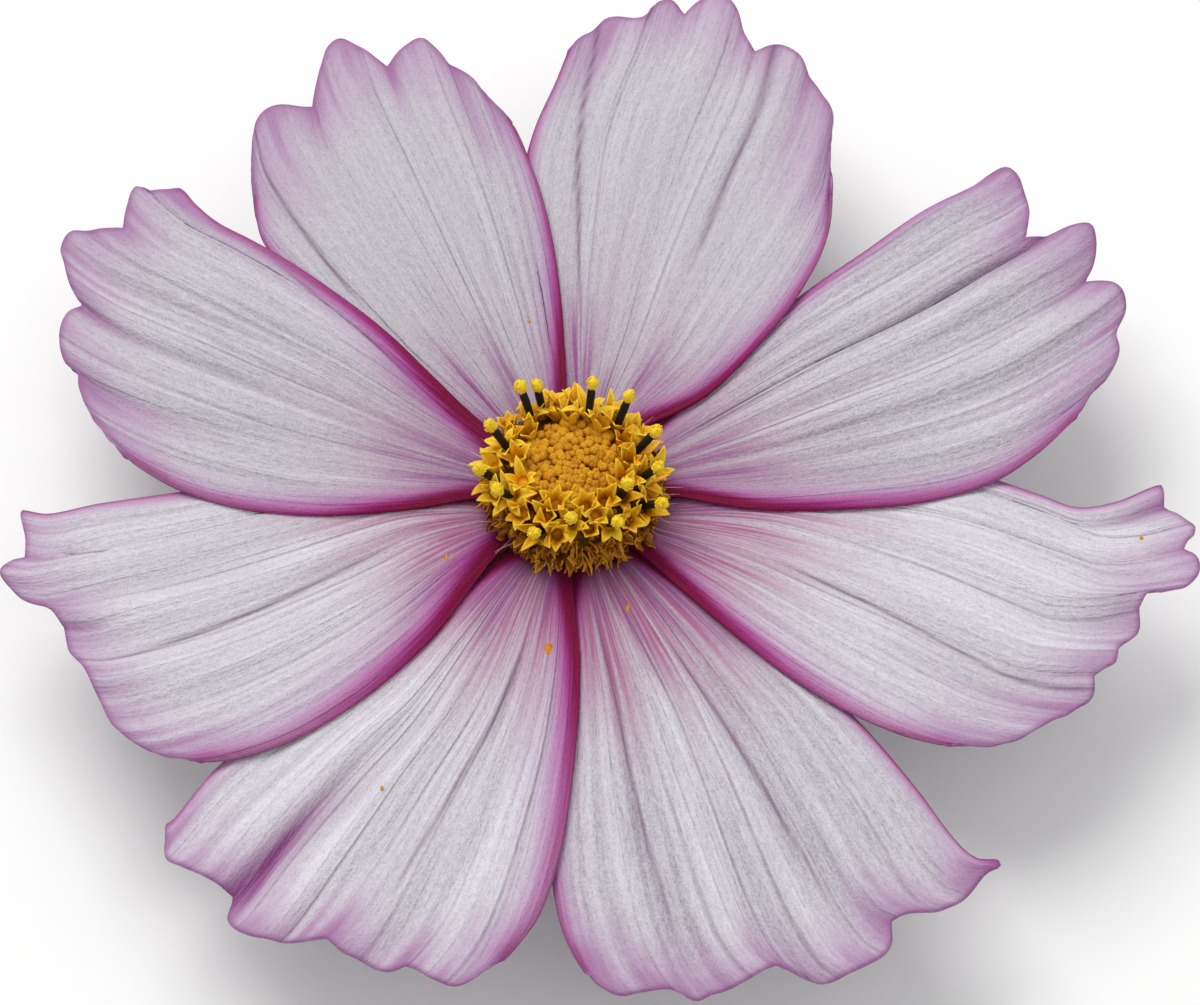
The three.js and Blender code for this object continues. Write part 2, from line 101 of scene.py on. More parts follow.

# Each outline is in the petal's own plan, in millimetres: outwards from the flower's axis, then to the
# left of that. "left" and "right" are the side edges from the claw outwards, "lobes" the rounded teeth of
# the outer margin from left to right, which meet in sharp notches: each starts where the one before it
# ends, and the right edge ends where the last one does. "lap" is 1 where the left or the right side lies
# over the next petal and -1 where it lies under. "pleat" is how strongly the blade is pleated, which also
# sets how strongly the painted shade and light of its relief show. "pale" is painted light: how much paler
# the whole blade is painted than the others, and darker where it is below 0, for the light that falls on
# it. "flush" is how strongly the claw's colour runs out on it.
# A crease or a valley runs from (across, along) to (across, along), where across goes from 0 at the left
# edge to 1 at the right and along from 0 at the claw to 1 at the margin. Its fifth number is its depth in
# millimetres, and a valley's sixth how mauve it is, a stain that is partly painted shade. "rims" are the
# widths of the left and the right magenta rim at the claw, half way and at the tip, in millimetres. "curls"
# are corners that curl up: the place in plan, how far the curl reaches and how high it lifts, in
# millimetres.
PETALS = {
    "petal_1": {
        "eighths": 2.5, "lap": (-1, 1), "pleat": 0.35, "pale": -0.035, "flush": 0.25,
        "creases": [(0.13, 0.5, 0.17, 1.0, 0.25)],
        "valleys": [],
        "rims": ((1.1, 0.6, 0.35), (1.4, 0.8, 0.4)),
        "left": [(6.0, 3.0), (12.7, 7.1), (21.4, 10.7), (25.8, 11.7), (28.8, 11.1)],
        "lobes": [
            [(31.5, 10.3), (34.7, 8.6), (35.3, 7.2), (34.4, 4.8)],
            [(37.2, 3.1), (38.6, 2.0), (38.8, 1.1), (37.2, 0.1), (35.2, -0.9)],
            [(36.4, -2.6), (36.5, -4.0), (35.1, -4.6), (33.9, -4.9)],
            [(32.6, -5.8), (30.1, -6.4), (28.0, -7.0)],
        ],
        "right": [(6.0, -2.1), (9.9, -3.5), (13.7, -4.8), (18.1, -6.0), (22.7, -6.8)],
    },
    "petal_2": {
        "eighths": 1.5, "lap": (-1, 1), "pleat": 0.45, "pale": -0.015, "flush": 0.45,
        "creases": [(0.23, 0.25, 0.09, 1.0, 0.18), (0.62, 0.45, 0.6, 1.0, 0.08)],
        "valleys": [],
        "rims": ((0.9, 0.6, 0.35), (1.3, 0.9, 0.4)),
        "left": [
            (6.0, 3.2), (13.1, 8.7), (18.4, 11.4), (22.0, 12.7), (25.5, 13.3), (29.0, 13.4), (32.0, 13.6),
        ],
        "lobes": [
            [(33.0, 13.3), (33.8, 12.7)],
            [(35.2, 12.2), (36.2, 9.9), (37.7, 9.6), (38.5, 8.8), (37.8, 7.5)],
            [(38.9, 7.0), (40.0, 6.0), (39.4, 4.5), (37.4, 2.9), (36.4, 1.8)],
            [(37.4, 0.4), (37.1, -1.1), (35.8, -2.4)],
            [(34.7, -3.7), (33.5, -4.9), (30.5, -5.9), (27.5, -7.2)],
        ],
        "right": [(6.0, -1.9), (10.1, -5.2), (15.4, -7.2), (19.4, -8.1), (23.6, -8.3)],
    },
    "petal_3": {
        "eighths": 0.5, "lap": (-1, 1), "pleat": 1.0, "pale": -0.045, "flush": 0.6,
        "creases": [(0.27, 0.42, 0.31, 0.88, 0.24)],
        "valleys": [(0.24, 0.45, 0.30, 1.0, 0.12, 0.3)],
        "rims": ((1.0, 0.6, 0.3), (1.1, 1.1, 0.6)),
        "left": [
            (6.2, 2.7), (12.8, 5.7), (19.6, 8.1), (24.8, 9.5), (30.0, 11.0), (33.6, 11.5), (35.3, 12.0),
        ],
        "lobes": [
            [(36.3, 11.9), (36.7, 11.2), (36.6, 10.0), (36.2, 8.2), (35.0, 6.1)],
            [(36.8, 5.9), (38.6, 5.7), (39.3, 5.2), (39.2, 4.2), (38.5, 2.9), (37.2, 1.7)],
            [
                (38.6, 0.5), (39.0, -0.4), (38.7, -1.6), (37.3, -3.1), (36.8, -4.6),
                (35.4, -5.9), (34.0, -6.6), (32.0, -8.2),
            ],
        ],
        "right": [(6.0, -2.6), (10.6, -5.9), (15.3, -8.2), (20.7, -10.1), (26.0, -10.4)],
    },
    "petal_4": {
        "eighths": -0.5, "lap": (-1, 1), "pleat": 1.0, "pale": 0.10, "flush": 1.55,
        "creases": [(0.6, 0.3, 0.66, 0.95, 0.2)],
        "valleys": [(0.72, 0.6, 0.74, 1.0, 0.3, 0.15)],
        "rims": ((1.0, 0.6, 0.3), (1.3, 1.2, 0.5)),
        "left": [
            (6.0, 3.6), (10.8, 7.5), (16.9, 9.7), (22.0, 10.8),
            (28.2, 10.8), (30.8, 10.8), (32.9, 12.1), (34.7, 14.1), (35.2, 14.5),
        ],
        "lobes": [
            [(35.5, 14.1), (35.9, 13.1)],
            [(37.2, 12.9), (38.2, 12.6), (38.4, 12.0), (38.2, 11.2), (38.2, 10.4)],
            [(39.2, 10.1), (39.7, 9.3), (39.4, 8.0), (38.2, 6.6), (37.3, 6.0), (37.1, 5.0)],
            [(37.6, 3.6), (36.9, 2.0), (37.1, 0.4), (36.2, -0.9)],
            [(36.6, -2.2), (35.9, -3.5), (32.9, -7.5), (29.5, -9.2)],
        ],
        "right": [(6.2, -2.6), (14.3, -6.5), (19.1, -8.3), (24.9, -9.5)],
    },
    "petal_5": {
        "eighths": -1.5, "lap": (-1, -1), "pleat": 1.0, "pale": 0.01, "flush": 1.65,
        "creases": [(0.76, 0.1, 0.72, 0.8, 0.25), (0.4, 0.2, 0.36, 0.8, 0.2)],
        "valleys": [],
        "rims": ((1.1, 0.55, 0.3), (1.2, 0.8, 0.5)),
        "curls": [((36.4, 13.8), 3.0, 1.1)],
        "left": [
            (6.0, 2.8), (13.2, 6.2), (21.5, 9.5), (28.7, 11.2), (33.5, 12.0), (35.4, 12.7), (36.3, 13.7),
        ],
        "lobes": [
            [(36.7, 13.6), (36.7, 12.6), (37.3, 11.3), (37.7, 9.1), (37.3, 7.0), (37.3, 6.0)],
            [(38.8, 5.3), (39.5, 4.1), (39.8, 1.8), (39.6, 0.5), (38.6, -0.5), (37.4, -1.8)],
            [(37.8, -4.0), (37.7, -6.2), (37.8, -7.4), (36.5, -8.5)],
            [(36.0, -9.9), (35.6, -11.4), (34.7, -12.3), (33.1, -12.8)],
        ],
        "right": [(6.0, -2.8), (13.9, -6.6), (20.8, -10.1), (26.7, -12.3), (30.4, -13.0)],
    },
    "petal_6": {
        "eighths": -2.5, "lap": (1, -1), "pleat": 1.0, "pale": 0.08, "flush": 1.35,
        "creases": [(0.35, 0.2, 0.38, 0.8, 0.2)],
        "valleys": [(0.62, 0.4, 0.72, 1.0, 0.45, 1.5)],
        "rims": ((1.3, 1.5, 0.9), (1.2, 0.7, 0.4)),
        "left": [(6.1, 2.5), (11.9, 5.4), (18.4, 7.8), (25.6, 9.8), (30.5, 10.3), (33.8, 9.5)],
        "lobes": [
            [(36.8, 7.5), (36.9, 5.8), (36.5, 4.0)],
            [(37.2, 3.1), (37.2, 1.6), (37.3, 0.1), (36.8, -1.2)],
            [(37.5, -2.8), (38.2, -4.9), (38.3, -6.4), (37.6, -7.5), (35.8, -8.0)],
            [
                (35.7, -9.7), (35.5, -11.6), (35.3, -12.7), (35.0, -13.0), (34.0, -13.4),
                (33.1, -13.8), (32.8, -13.8),
            ],
        ],
        "right": [
            (6.2, -2.8), (11.8, -5.0), (17.0, -6.9), (22.3, -10.1), (28.0, -12.6), (32.5, -13.6),
        ],
    },
    "petal_7": {
        "eighths": -3.5, "lap": (1, -1), "pleat": 0.9, "pale": 0.05, "flush": 1.5,
        "creases": [(0.81, 0.8, 0.87, 0.91, 0.3), (0.5, 0.25, 0.45, 0.9, 0.2)],
        "valleys": [],
        "rims": ((1.7, 1.65, 0.8), (1.0, 0.6, 0.35)),
        "left": [(6.2, 2.3), (12.8, 7.1), (19.4, 10.1), (25.2, 11.2), (29.6, 10.5)],
        "lobes": [
            [(32.3, 8.5), (33.7, 6.4), (33.9, 3.7), (34.1, 1.0), (34.4, -0.7), (34.1, -2.4)],
            [(34.6, -3.7), (35.6, -4.9), (36.4, -6.6), (36.6, -7.5), (36.4, -7.8), (34.7, -8.2)],
            [(34.2, -9.4), (34.0, -10.5), (33.8, -11.5), (33.6, -11.7)],
        ],
        "right": [
            (6.0, -3.4), (10.0, -6.4), (13.3, -7.5), (19.2, -8.5), (24.0, -9.3), (29.0, -10.3),
            (32.2, -10.8), (33.3, -11.5),
        ],
    },
    "petal_8": {
        "eighths": 3.5, "lap": (1, 1), "pleat": 0.7, "pale": -0.035, "flush": 0.65,
        "creases": [(0.84, 0.08, 0.95, 0.62, 0.4)],
        "valleys": [],
        "rims": ((1.3, 1.0, 0.45), (2.2, 0.95, 0.4)),
        "left": [(6.0, 2.8), (9.8, 5.6), (15.4, 8.8), (21.8, 10.3), (27.5, 9.5)],
        "lobes": [
            [(31.2, 7.2), (32.6, 5.6), (33.2, 4.5)],
            [(34.5, 3.9), (35.4, 2.6), (35.7, 0.9), (35.2, -0.4)],
            [(36.5, -1.4), (37.5, -2.6), (38.4, -4.0), (38.3, -5.3), (36.8, -5.9), (35.1, -6.6)],
            [
                (35.6, -8.2), (35.9, -9.7), (35.8, -10.2), (35.4, -10.3), (34.7, -10.2),
                (33.8, -10.7), (33.0, -11.1),
            ],
        ],
        "right": [
            (6.4, -2.4), (11.3, -4.4), (16.5, -6.6), (23.1, -8.5), (27.0, -9.2), (29.6, -9.6),
            (31.6, -10.4), (32.6, -11.0),
        ],
    },
}

# The core that the florets stand on, as (radius, height): a plug between the claws and a dome over them.
CORE_PLUG = [(0.0, 7.15), (3.6, 7.15), (3.9, 7.4), (3.9, 9.0), (4.6, 9.4), (5.2, 9.7)]
CORE_DOME = [(5.3, 10.1), (4.9, 10.9), (4.2, 11.5), (3.2, 11.9), (1.6, 12.2), (0.0, 12.3)]

# Open florets as (direction in degrees, distance from the axis in millimetres, lean from upright in
# degrees, height of the pollen knob over the throat in millimetres), and those that are only opening.
OPEN_FLORETS = [
    (11, 3.7, 31, 2.4), (46, 3.8, 26, 2.2), (75, 3.5, 27, 2.1), (114, 4.5, 27, 1.6), (126, 4.2, 28, 2.2),
    (164, 4.0, 27, 2.3), (193, 4.5, 32, 2.1), (213, 4.2, 30, 2.1), (248, 4.6, 38, 2.1), (269, 4.2, 22, 2.1),
    (298, 4.5, 31, 2.1), (319, 3.8, 15, 2.2), (326, 4.6, 42, 2.4), (344, 4.0, 31, 2.3),
]
OPENING_FLORETS = [
    (0, 3.3, 14), (28, 3.3, 18), (58, 3.0, 16), (92, 3.1, 18), (104, 3.6, 24), (140, 3.3, 16),
    (176, 3.2, 16), (205, 3.3, 14), (232, 3.4, 16), (252, 3.3, 14), (283, 3.3, 18), (303, 3.4, 16),
    (334, 3.3, 14), (24, 4.5, 38), (33, 4.0, 28), (60, 4.3, 34), (86, 4.3, 30), (99, 4.5, 30),
    (142, 4.5, 32), (152, 4.0, 28), (178, 4.4, 34), (203, 4.5, 40), (220, 3.8, 26), (229, 4.3, 36),
    (248, 3.9, 28), (290, 3.9, 26), (259, 4.6, 40), (282, 4.4, 34), (311, 4.6, 40), (336, 4.5, 40),
    (356, 4.5, 38),
]

# Grains of pollen on the petals: which petal, across, along, and length in millimetres.
POLLEN_GRAINS = [
    ("petal_6", 0.20, 0.25, 0.75), ("petal_6", 0.56, 0.65, 0.28), ("petal_7", 0.28, 0.20, 0.3),
    ("petal_4", 0.13, 0.90, 0.25), ("petal_1", 0.80, 0.32, 0.22), ("petal_5", 0.52, 0.17, 0.4),
]


# ---- Numbers ---------------------------------------------------------------------------------------

def linear(hex_colour):
    """An sRGB hex colour as linear red, green, blue and an alpha of 1."""
    values = np.array([int(hex_colour[i:i + 2], 16) for i in (1, 3, 5)]) / 255
    curved = np.where(values <= 0.04045, values / 12.92, ((values + 0.055) / 1.055) ** 2.4)
    return (*(float(v) for v in curved), 1.0)


def smoothstep(low, high, x):
    """0 below low, 1 above high, and an S curve between."""
    u = np.clip((x - low) / (high - low), 0, 1)
    return u * u * (3 - 2 * u)


def bell(x, width):
    """1 at 0, falling away to both sides as a Gaussian."""
    return np.exp(-(x / width) ** 2)


def ripple(x, random, waves, slowest, fastest):
    """A sum of cosines with random frequencies and phases, scaled to about -1 to 1."""
    rates = random.uniform(slowest, fastest, waves)
    phases = random.uniform(0, 2 * np.pi, waves)
    total = np.cos(2 * np.pi * np.multiply.outer(x, rates) + phases).sum(-1)
    return total / np.sqrt(waves)


def around_turn(count):
    """Angles set evenly round a whole turn."""
    return np.linspace(0, 2 * np.pi, count, endpoint=False)


def smooth_curve(points, count=None, coming_from=None, going_to=None):
    """A centripetal Catmull-Rom curve through the points, as count points evenly spaced along it, or as
    its fine samples if count is None. Its ends bend as if it came from one point and went on to another."""
    p = np.array(points, float)
    first = 2 * p[0] - p[1] if coming_from is None else np.array(coming_from, float)
    final = 2 * p[-1] - p[-2] if going_to is None else np.array(going_to, float)
    p = np.vstack([first, p, final])
    gaps = np.maximum(((np.diff(p, axis=0) ** 2).sum(1)) ** 0.25, LEAST_GAP)[:, None]
    before, here, after = gaps[:-2], gaps[1:-1], gaps[2:]
    p0, p1, p2, p3 = p[:-3], p[1:-2], p[2:-1], p[3:]
    leaving = ((p1 - p0) / before - (p2 - p0) / (before + here) + (p2 - p1) / here) * here
    arriving = ((p2 - p1) / here - (p3 - p1) / (here + after) + (p3 - p2) / after) * here
    t = np.linspace(0, 1, CURVE_STEPS, endpoint=False)[None, :, None]
    p1, p2, leaving, arriving = (a[:, None, :] for a in (p1, p2, leaving, arriving))
    fine = (
        (2 * t**3 - 3 * t**2 + 1) * p1 + (t**3 - 2 * t**2 + t) * leaving
        + (3 * t**2 - 2 * t**3) * p2 + (t**3 - t**2) * arriving
    )
    fine = np.vstack([fine.reshape(-1, p.shape[1]), p[-2]])
    if count is None:
        return fine
    reach = np.concatenate([[0], np.cumsum(np.linalg.norm(np.diff(fine, axis=0), axis=1))])
    wanted = np.linspace(0, reach[-1], count)
    return np.stack([np.interp(wanted, reach, column) for column in fine.T], axis=1)


def length_of(points):
    """Length of the smooth curve through the points."""
    return np.linalg.norm(np.diff(smooth_curve(points), axis=0), axis=1).sum()


# ---- Mesh parts: each is (vertices, faces, values at the vertices) ---------------------------------

def unit_normals(middle):
    """Unit normals of a grid of points: the cross product of its two directions of travel."""
    outwards, sideways = np.gradient(middle, axis=(0, 1))
    normals = np.cross(sideways, outwards)
    return normals / np.maximum(np.linalg.norm(normals, axis=-1, keepdims=True), 1e-9)


def blade_part(middle, thickness, values=None):
    """A closed blade from a grid of middle points, middle[i, j]: the upper and the lower face lie half the
    thickness to either side along the normals, and a rim of quads joins their outlines."""
    rows, columns = middle.shape[:2]
    half = unit_normals(middle) * np.broadcast_to(thickness, (rows, columns))[..., None] / 2
    vertices = np.concatenate([(middle + half).reshape(-1, 3), (middle - half).reshape(-1, 3)])
    at = np.arange(rows * columns).reshape(rows, columns)
    under = rows * columns
    a, b, c, d = at[:-1, :-1], at[1:, :-1], at[1:, 1:], at[:-1, 1:]
    upper = np.stack([a, d, c, b], -1).reshape(-1, 4)
    lower = under + np.stack([a, b, c, d], -1).reshape(-1, 4)
    ring = np.concatenate([at[:-1, 0], at[-1, :-1], at[:0:-1, -1], at[0, :0:-1]])
    following = np.roll(ring, -1)
    rim = np.stack([ring, following, under + following, under + ring], -1)
    doubled = {name: np.concatenate([v.ravel(), v.ravel()]) for name, v in (values or {}).items()}
    return vertices, [upper, lower, rim], doubled


def tube_part(rings, values=None):
    """A closed solid from rings of points, rings[i, j], carried from one end to the other, with a middle
    point that closes each end in a fan."""
    count, around = rings.shape[:2]
    ends = np.stack([rings[0].mean(0), rings[-1].mean(0)])
    vertices = np.concatenate([rings.reshape(-1, 3), ends])
    at = np.arange(count * around).reshape(count, around)
    turned = np.roll(at, -1, axis=1)
    sides = np.stack([at[:-1], turned[:-1], turned[1:], at[1:]], -1).reshape(-1, 4)
    first, last = count * around, count * around + 1
    near = np.stack([np.full(around, first), turned[0], at[0]], -1)
    far = np.stack([np.full(around, last), at[-1], turned[-1]], -1)
    filled = {}
    for name, v in (values or {}).items():
        filled[name] = np.concatenate([v.ravel(), [v[0].mean(), v[-1].mean()]])
    return vertices, [sides, near, far], filled


def turned_rings(radii, heights, around):
    """Rings for tube_part: circles of the given radii at the given heights round Z."""
    angles = around_turn(around)
    radii, heights = np.asarray(radii, float), np.asarray(heights, float)
    x = np.multiply.outer(radii, np.cos(angles))
    y = np.multiply.outer(radii, np.sin(angles))
    return np.stack([x, y, np.broadcast_to(heights[:, None], x.shape)], -1)


def joined_parts(parts):
    """Several parts as one: their vertices, faces and values end to end."""
    vertices, faces, start = [], [], 0
    for part_vertices, part_faces, _ in parts:
        vertices.append(part_vertices)
        faces.extend(group + start for group in part_faces)
        start += len(part_vertices)
    names = parts[0][2].keys()
    values = {name: np.concatenate([part[2][name] for part in parts]) for name in names}
    return np.concatenate(vertices), faces, values


def turned_part(part, matrix, shift=(0.0, 0.0, 0.0)):
    """A part turned by a matrix and then moved."""
    vertices, faces, values = part
    return vertices @ matrix.T + np.array(shift), faces, values


def turn(axis, angle):
    """The 3 x 3 matrix that turns by an angle about X, Y or Z."""
    c, s = math.cos(angle), math.sin(angle)
    i, j = {"X": (1, 2), "Y": (2, 0), "Z": (0, 1)}[axis]
    matrix = np.eye(3)
    matrix[i, i] = matrix[j, j] = c
    matrix[i, j], matrix[j, i] = -s, s
    return matrix


def dome_height(radius):
    """Height of the core's dome at a distance from the axis."""
    radii, heights = np.array(CORE_DOME[::-1]).T
    return np.interp(radius, radii, heights)


def stood_on_dome(part, direction, radius, lean, spin=0.0, sink=0.0):
    """A part that stands along +Z from its root, spun about itself, leant outwards and set on the dome."""
    place = turn("Z", direction) @ np.array([radius, 0.0, float(dome_height(radius)) - sink])
    return turned_part(part, turn("Z", direction) @ turn("Y", lean) @ turn("Z", spin), place)


def make_piece(name, part, material, replaces=()):
    """Puts a part into a smooth-shaded mesh object in the frame's metres, with its values as attributes."""
    vertices, faces, values = part
    mesh = bpy.data.meshes.new(name)
    polygons = [face for group in faces for face in group.tolist()]
    mesh.from_pydata((vertices * MM + AXIS).tolist(), [], polygons)
    mesh.polygons.foreach_set("use_smooth", np.ones(len(polygons), bool))
    for value_name, value in values.items():
        attribute = mesh.attributes.new(value_name, "FLOAT", "POINT")
        attribute.data.foreach_set("value", np.ascontiguousarray(value, dtype=np.float32))
    if "across" in values:
        corners = np.empty(len(mesh.loops), np.int32)
        mesh.loops.foreach_get("vertex_index", corners)
        places = np.stack([values["across"], values["along"]], -1)[corners]
        mesh.uv_layers.new(name="blade").data.foreach_set("uv", places.astype(np.float32).ravel())
    mesh.materials.append(material)
    mesh.update()
    piece = bpy.data.objects.new(name, mesh)
    bpy.context.scene.collection.objects.link(piece)
    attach(piece, "root")
    if replaces:
        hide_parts(*replaces)
    return piece


# ---- Materials -------------------------------------------------------------------------------------

def add_node(tree, kind, inputs=None, stops=(), output=0, **settings):
    """Adds a node with its settings and gives one of its outputs, if it has any. An input is linked if it
    is another node's output and set if not, and stops are the (place, colour) pairs of a colour ramp."""
    node = tree.nodes.new(kind)
    for name, value in settings.items():
        setattr(node, name, value)
    for socket, value in (inputs or {}).items():
        if isinstance(value, bpy.types.NodeSocket):
            tree.links.new(value, node.inputs[socket])
        else:
            node.inputs[socket].default_value = value
    if stops:
        elements = node.color_ramp.elements
        while len(elements) < len(stops):
            elements.new(1.0)
        for element, (place, colour) in zip(elements, stops):
            element.position = place
            element.color = colour
    return node.outputs[output] if node.outputs else None


def attribute(tree, name):
    """A value that the mesh carries at its points."""
    return add_node(tree, "ShaderNodeAttribute", output="Fac", attribute_name=name)


def noise(tree, vector, scale, detail=2.0, roughness=0.6):
    """Noise from 0 to 1 with a mean of a half and features of about 1 / scale."""
    inputs = {"Vector": vector, "Scale": scale, "Detail": detail, "Roughness": roughness}
    return add_node(tree, "ShaderNodeTexNoise", inputs, output="Fac")


def stretched_noise(tree, vector, scales, detail, roughness):
    """Noise with a scale of its own in each direction."""
    stretched = add_node(tree, "ShaderNodeMapping", {"Vector": vector, "Scale": scales})
    return noise(tree, stretched, 1.0, detail, roughness)


def math_node(tree, operation, *values, clamped=False):
    """One step of arithmetic on values that are sockets or numbers."""
    return add_node(tree, "ShaderNodeMath", dict(enumerate(values)), operation=operation, use_clamp=clamped)


def weighted_sum(tree, total, shares):
    """A value plus each further value times its share."""
    for value, share in shares:
        total = math_node(tree, "MULTIPLY_ADD", value, share, total)
    return total


def mapped(tree, value, given, wanted, smooth=False):
    """A value carried from one (start, end) to another, straight or in an S curve, and held at the ends."""
    inputs = {"Value": value, "From Min": given[0], "From Max": given[1]}
    inputs.update({"To Min": wanted[0], "To Max": wanted[1]})
    kind = "SMOOTHSTEP" if smooth else "LINEAR"
    return add_node(tree, "ShaderNodeMapRange", inputs, interpolation_type=kind)


def tinted(tree, colour, share, tint):
    """A colour with a share of an sRGB hex tint mixed in."""
    inputs = {0: share, 6: colour, 7: linear(tint)}
    return add_node(tree, "ShaderNodeMix", inputs, output=2, data_type="RGBA")


def tinted_where(tree, colour, tints):
    """A colour with each tint mixed in by its full share up to one value of its source, and then ever less
    until there is none of it at another: (source, full, none, share, tint)."""
    for source, full, none, share, tint in tints:
        colour = tinted(tree, colour, mapped(tree, source, (full, none), (share, 0.0), smooth=True), tint)
    return colour


def ramp(tree, value, *stops):
    """The colour at a value on a ramp of (place, sRGB hex colour) stops."""
    return add_node(tree, "ShaderNodeValToRGB", {"Fac": value}, [(at, linear(tint)) for at, tint in stops])


def new_material(name):
    """An empty node material and its tree."""
    material = bpy.data.materials.new(name)
    material.use_nodes = True
    material.node_tree.nodes.clear()
    return material, material.node_tree


def add_surface(tree, inputs, bump=None):
    """Ends a material with a principled shader, bumped by a (height, strength, distance in metres)."""
    if bump:
        relief = dict(zip(("Height", "Strength", "Distance"), bump))
        inputs = {**inputs, "Normal": add_node(tree, "ShaderNodeBump", relief)}
    shader = add_node(tree, "ShaderNodeBsdfPrincipled", inputs)
    add_node(tree, "ShaderNodeOutputMaterial", {"Surface": shader})


def petal_material(settings):
    """Fresh petal: thin, matt and papery, with rows of swollen cells that scatter light, whose fine grain
    is partly their own texture and partly painted sparkle, lengthwise veins that fan out from the claw, and
    a magenta rim that turns maroon at its very edge. Its tone holds painted shade in the furrows and
    creases and painted light on the ridges, each blade is painted lighter or darker for the light on it,
    and the maroon at the edge and at the claw is partly painted shade."""
    material, tree = new_material("petal_tissue")
    read = {
        name: attribute(tree, name)
        for name in (
            "across", "along", "petal", "rim", "margin", "mauve",
            "crease", "relief", "claw", "contrast", "pale", "flush",
        )
    }
    blade = add_node(
        tree, "ShaderNodeCombineXYZ", {0: read["across"], 1: read["along"], 2: read["petal"]}
    )

    # Noise stretched along the blade, which is about 20 mm wide and 34 mm long: soft swells 4 mm wide,
    # furrows of 0.8 mm, streaks of 0.3 mm, and the swollen cells, which show as grain 0.12 mm by 0.6 mm.
    streaks = {
        name: stretched_noise(tree, blade, (count, length, 1.0), 2.0, 0.5)
        for name, count, length in (
            ("broad", 5, 0.8), ("furrow", 24, 1.3), ("fine", 70, 3.5), ("cells", 160, 60),
        )
    }
    grain = noise(tree, add_node(tree, "ShaderNodeTexCoord", output="Object"), 6500.0)

    # A vein is a lengthwise line: the distance across the blade in whole lines, bent by a slow noise and
    # folded, is 0 on each line. Ten main veins are 0.15 mm wide and thirty-one fine ones 0.08 mm at half
    # their strength, and each fades and comes back.
    veins = []
    for lines, bend, foot in ((10.0, 1.1, 0.072), (31.0, 2.2, 0.12)):
        wobble = math_node(tree, "MULTIPLY", streaks["broad"], bend)
        spread = math_node(tree, "MULTIPLY_ADD", read["across"], lines, wobble)
        line = mapped(tree, math_node(tree, "PINGPONG", spread, 0.5), (0.0, foot), (1.0, 0.0), smooth=True)
        strength = mapped(tree, streaks["furrow"], (0.38, 0.62), (0.05, 1.0))
        veins.append(math_node(tree, "MULTIPLY", line, strength))
    vein = math_node(tree, "MULTIPLY_ADD", veins[1], 0.45, veins[0], clamped=True)

    # Furrows and streaks are stronger on the petals that are more strongly pleated, and so is the relief,
    # which adds painted shade where the blade dips and painted light where it rises. Their mean, half the
    # sum of the shares, is taken off first, and 0.365 then brings an even petal to the ramp's middle.
    relief_shading_and_streaks = weighted_sum(tree, read["relief"], (
        (streaks["broad"], 0.22), (streaks["furrow"], 0.30), (streaks["fine"], 0.38),
        (streaks["cells"], 0.20), (grain, 0.25),
    ))
    tone = math_node(tree, "SUBTRACT", relief_shading_and_streaks, 0.675)
    tone = math_node(tree, "MULTIPLY", tone, read["contrast"])
    # The blade's pale value is painted light: it lifts or lowers the whole blade's tone for the light that
    # falls on it.
    tone = math_node(tree, "ADD", tone, read["pale"])
    tone = math_node(tree, "ADD", tone, 0.365)
    # The swollen cells and the finest grain vary the tone again: partly the tissue's own texture, partly
    # painted sparkle.
    tone = weighted_sum(tree, tone, ((streaks["cells"], 0.12), (grain, 0.15)))
    colour = ramp(
        tree, tone,
        (0.26, settings.shade_colour), (0.50, settings.body_colour), (0.74, settings.light_colour),
    )

    # The rim's inner limit wanders a little along the streaks, and so does the colour that runs outwards
    # from the claw and inwards from the margin.
    rim = math_node(tree, "MULTIPLY_ADD", streaks["fine"], 0.5, read["rim"])
    claw = math_node(tree, "MULTIPLY_ADD", streaks["furrow"], 0.40, read["along"])
    tip = math_node(tree, "MULTIPLY_ADD", streaks["furrow"], 7.0, read["margin"])

    # The colour from the claw runs out in streaks, by each petal's own strength.
    streaky = mapped(tree, streaks["fine"], (0.35, 0.65), (0.35, 1.2))
    flush = math_node(tree, "MULTIPLY", read["flush"], streaky)
    flush = math_node(tree, "MULTIPLY", flush, 0.80)
    colour = tinted_where(tree, colour, (
        (tip, 2.6, 8.5, 0.70, settings.lilac_colour),
        (rim, 0.7, 3.4, 0.55, settings.lilac_colour),
        (claw, 0.24, 0.74, flush, settings.flush_colour),
        (tip, 2.6, 5.0, 0.42, settings.mauve_colour),
    ))

    # Veins are stronger near the claw and on pleated petals.
    veined = mapped(tree, read["along"], (0.10, 0.55), (0.74, 0.40))
    pleated = math_node(tree, "MULTIPLY_ADD", read["contrast"], 0.75, 0.2)
    veined = math_node(tree, "MULTIPLY", veined, pleated)
    # A crease's dark line is painted shade laid along its dip.
    for source, share, tint in (
        (read["mauve"], streaky, settings.mauve_colour), (vein, veined, settings.vein_colour),
        (read["crease"], 0.75, settings.vein_colour),
    ):
        colour = tinted(tree, colour, math_node(tree, "MULTIPLY", source, share, clamped=True), tint)

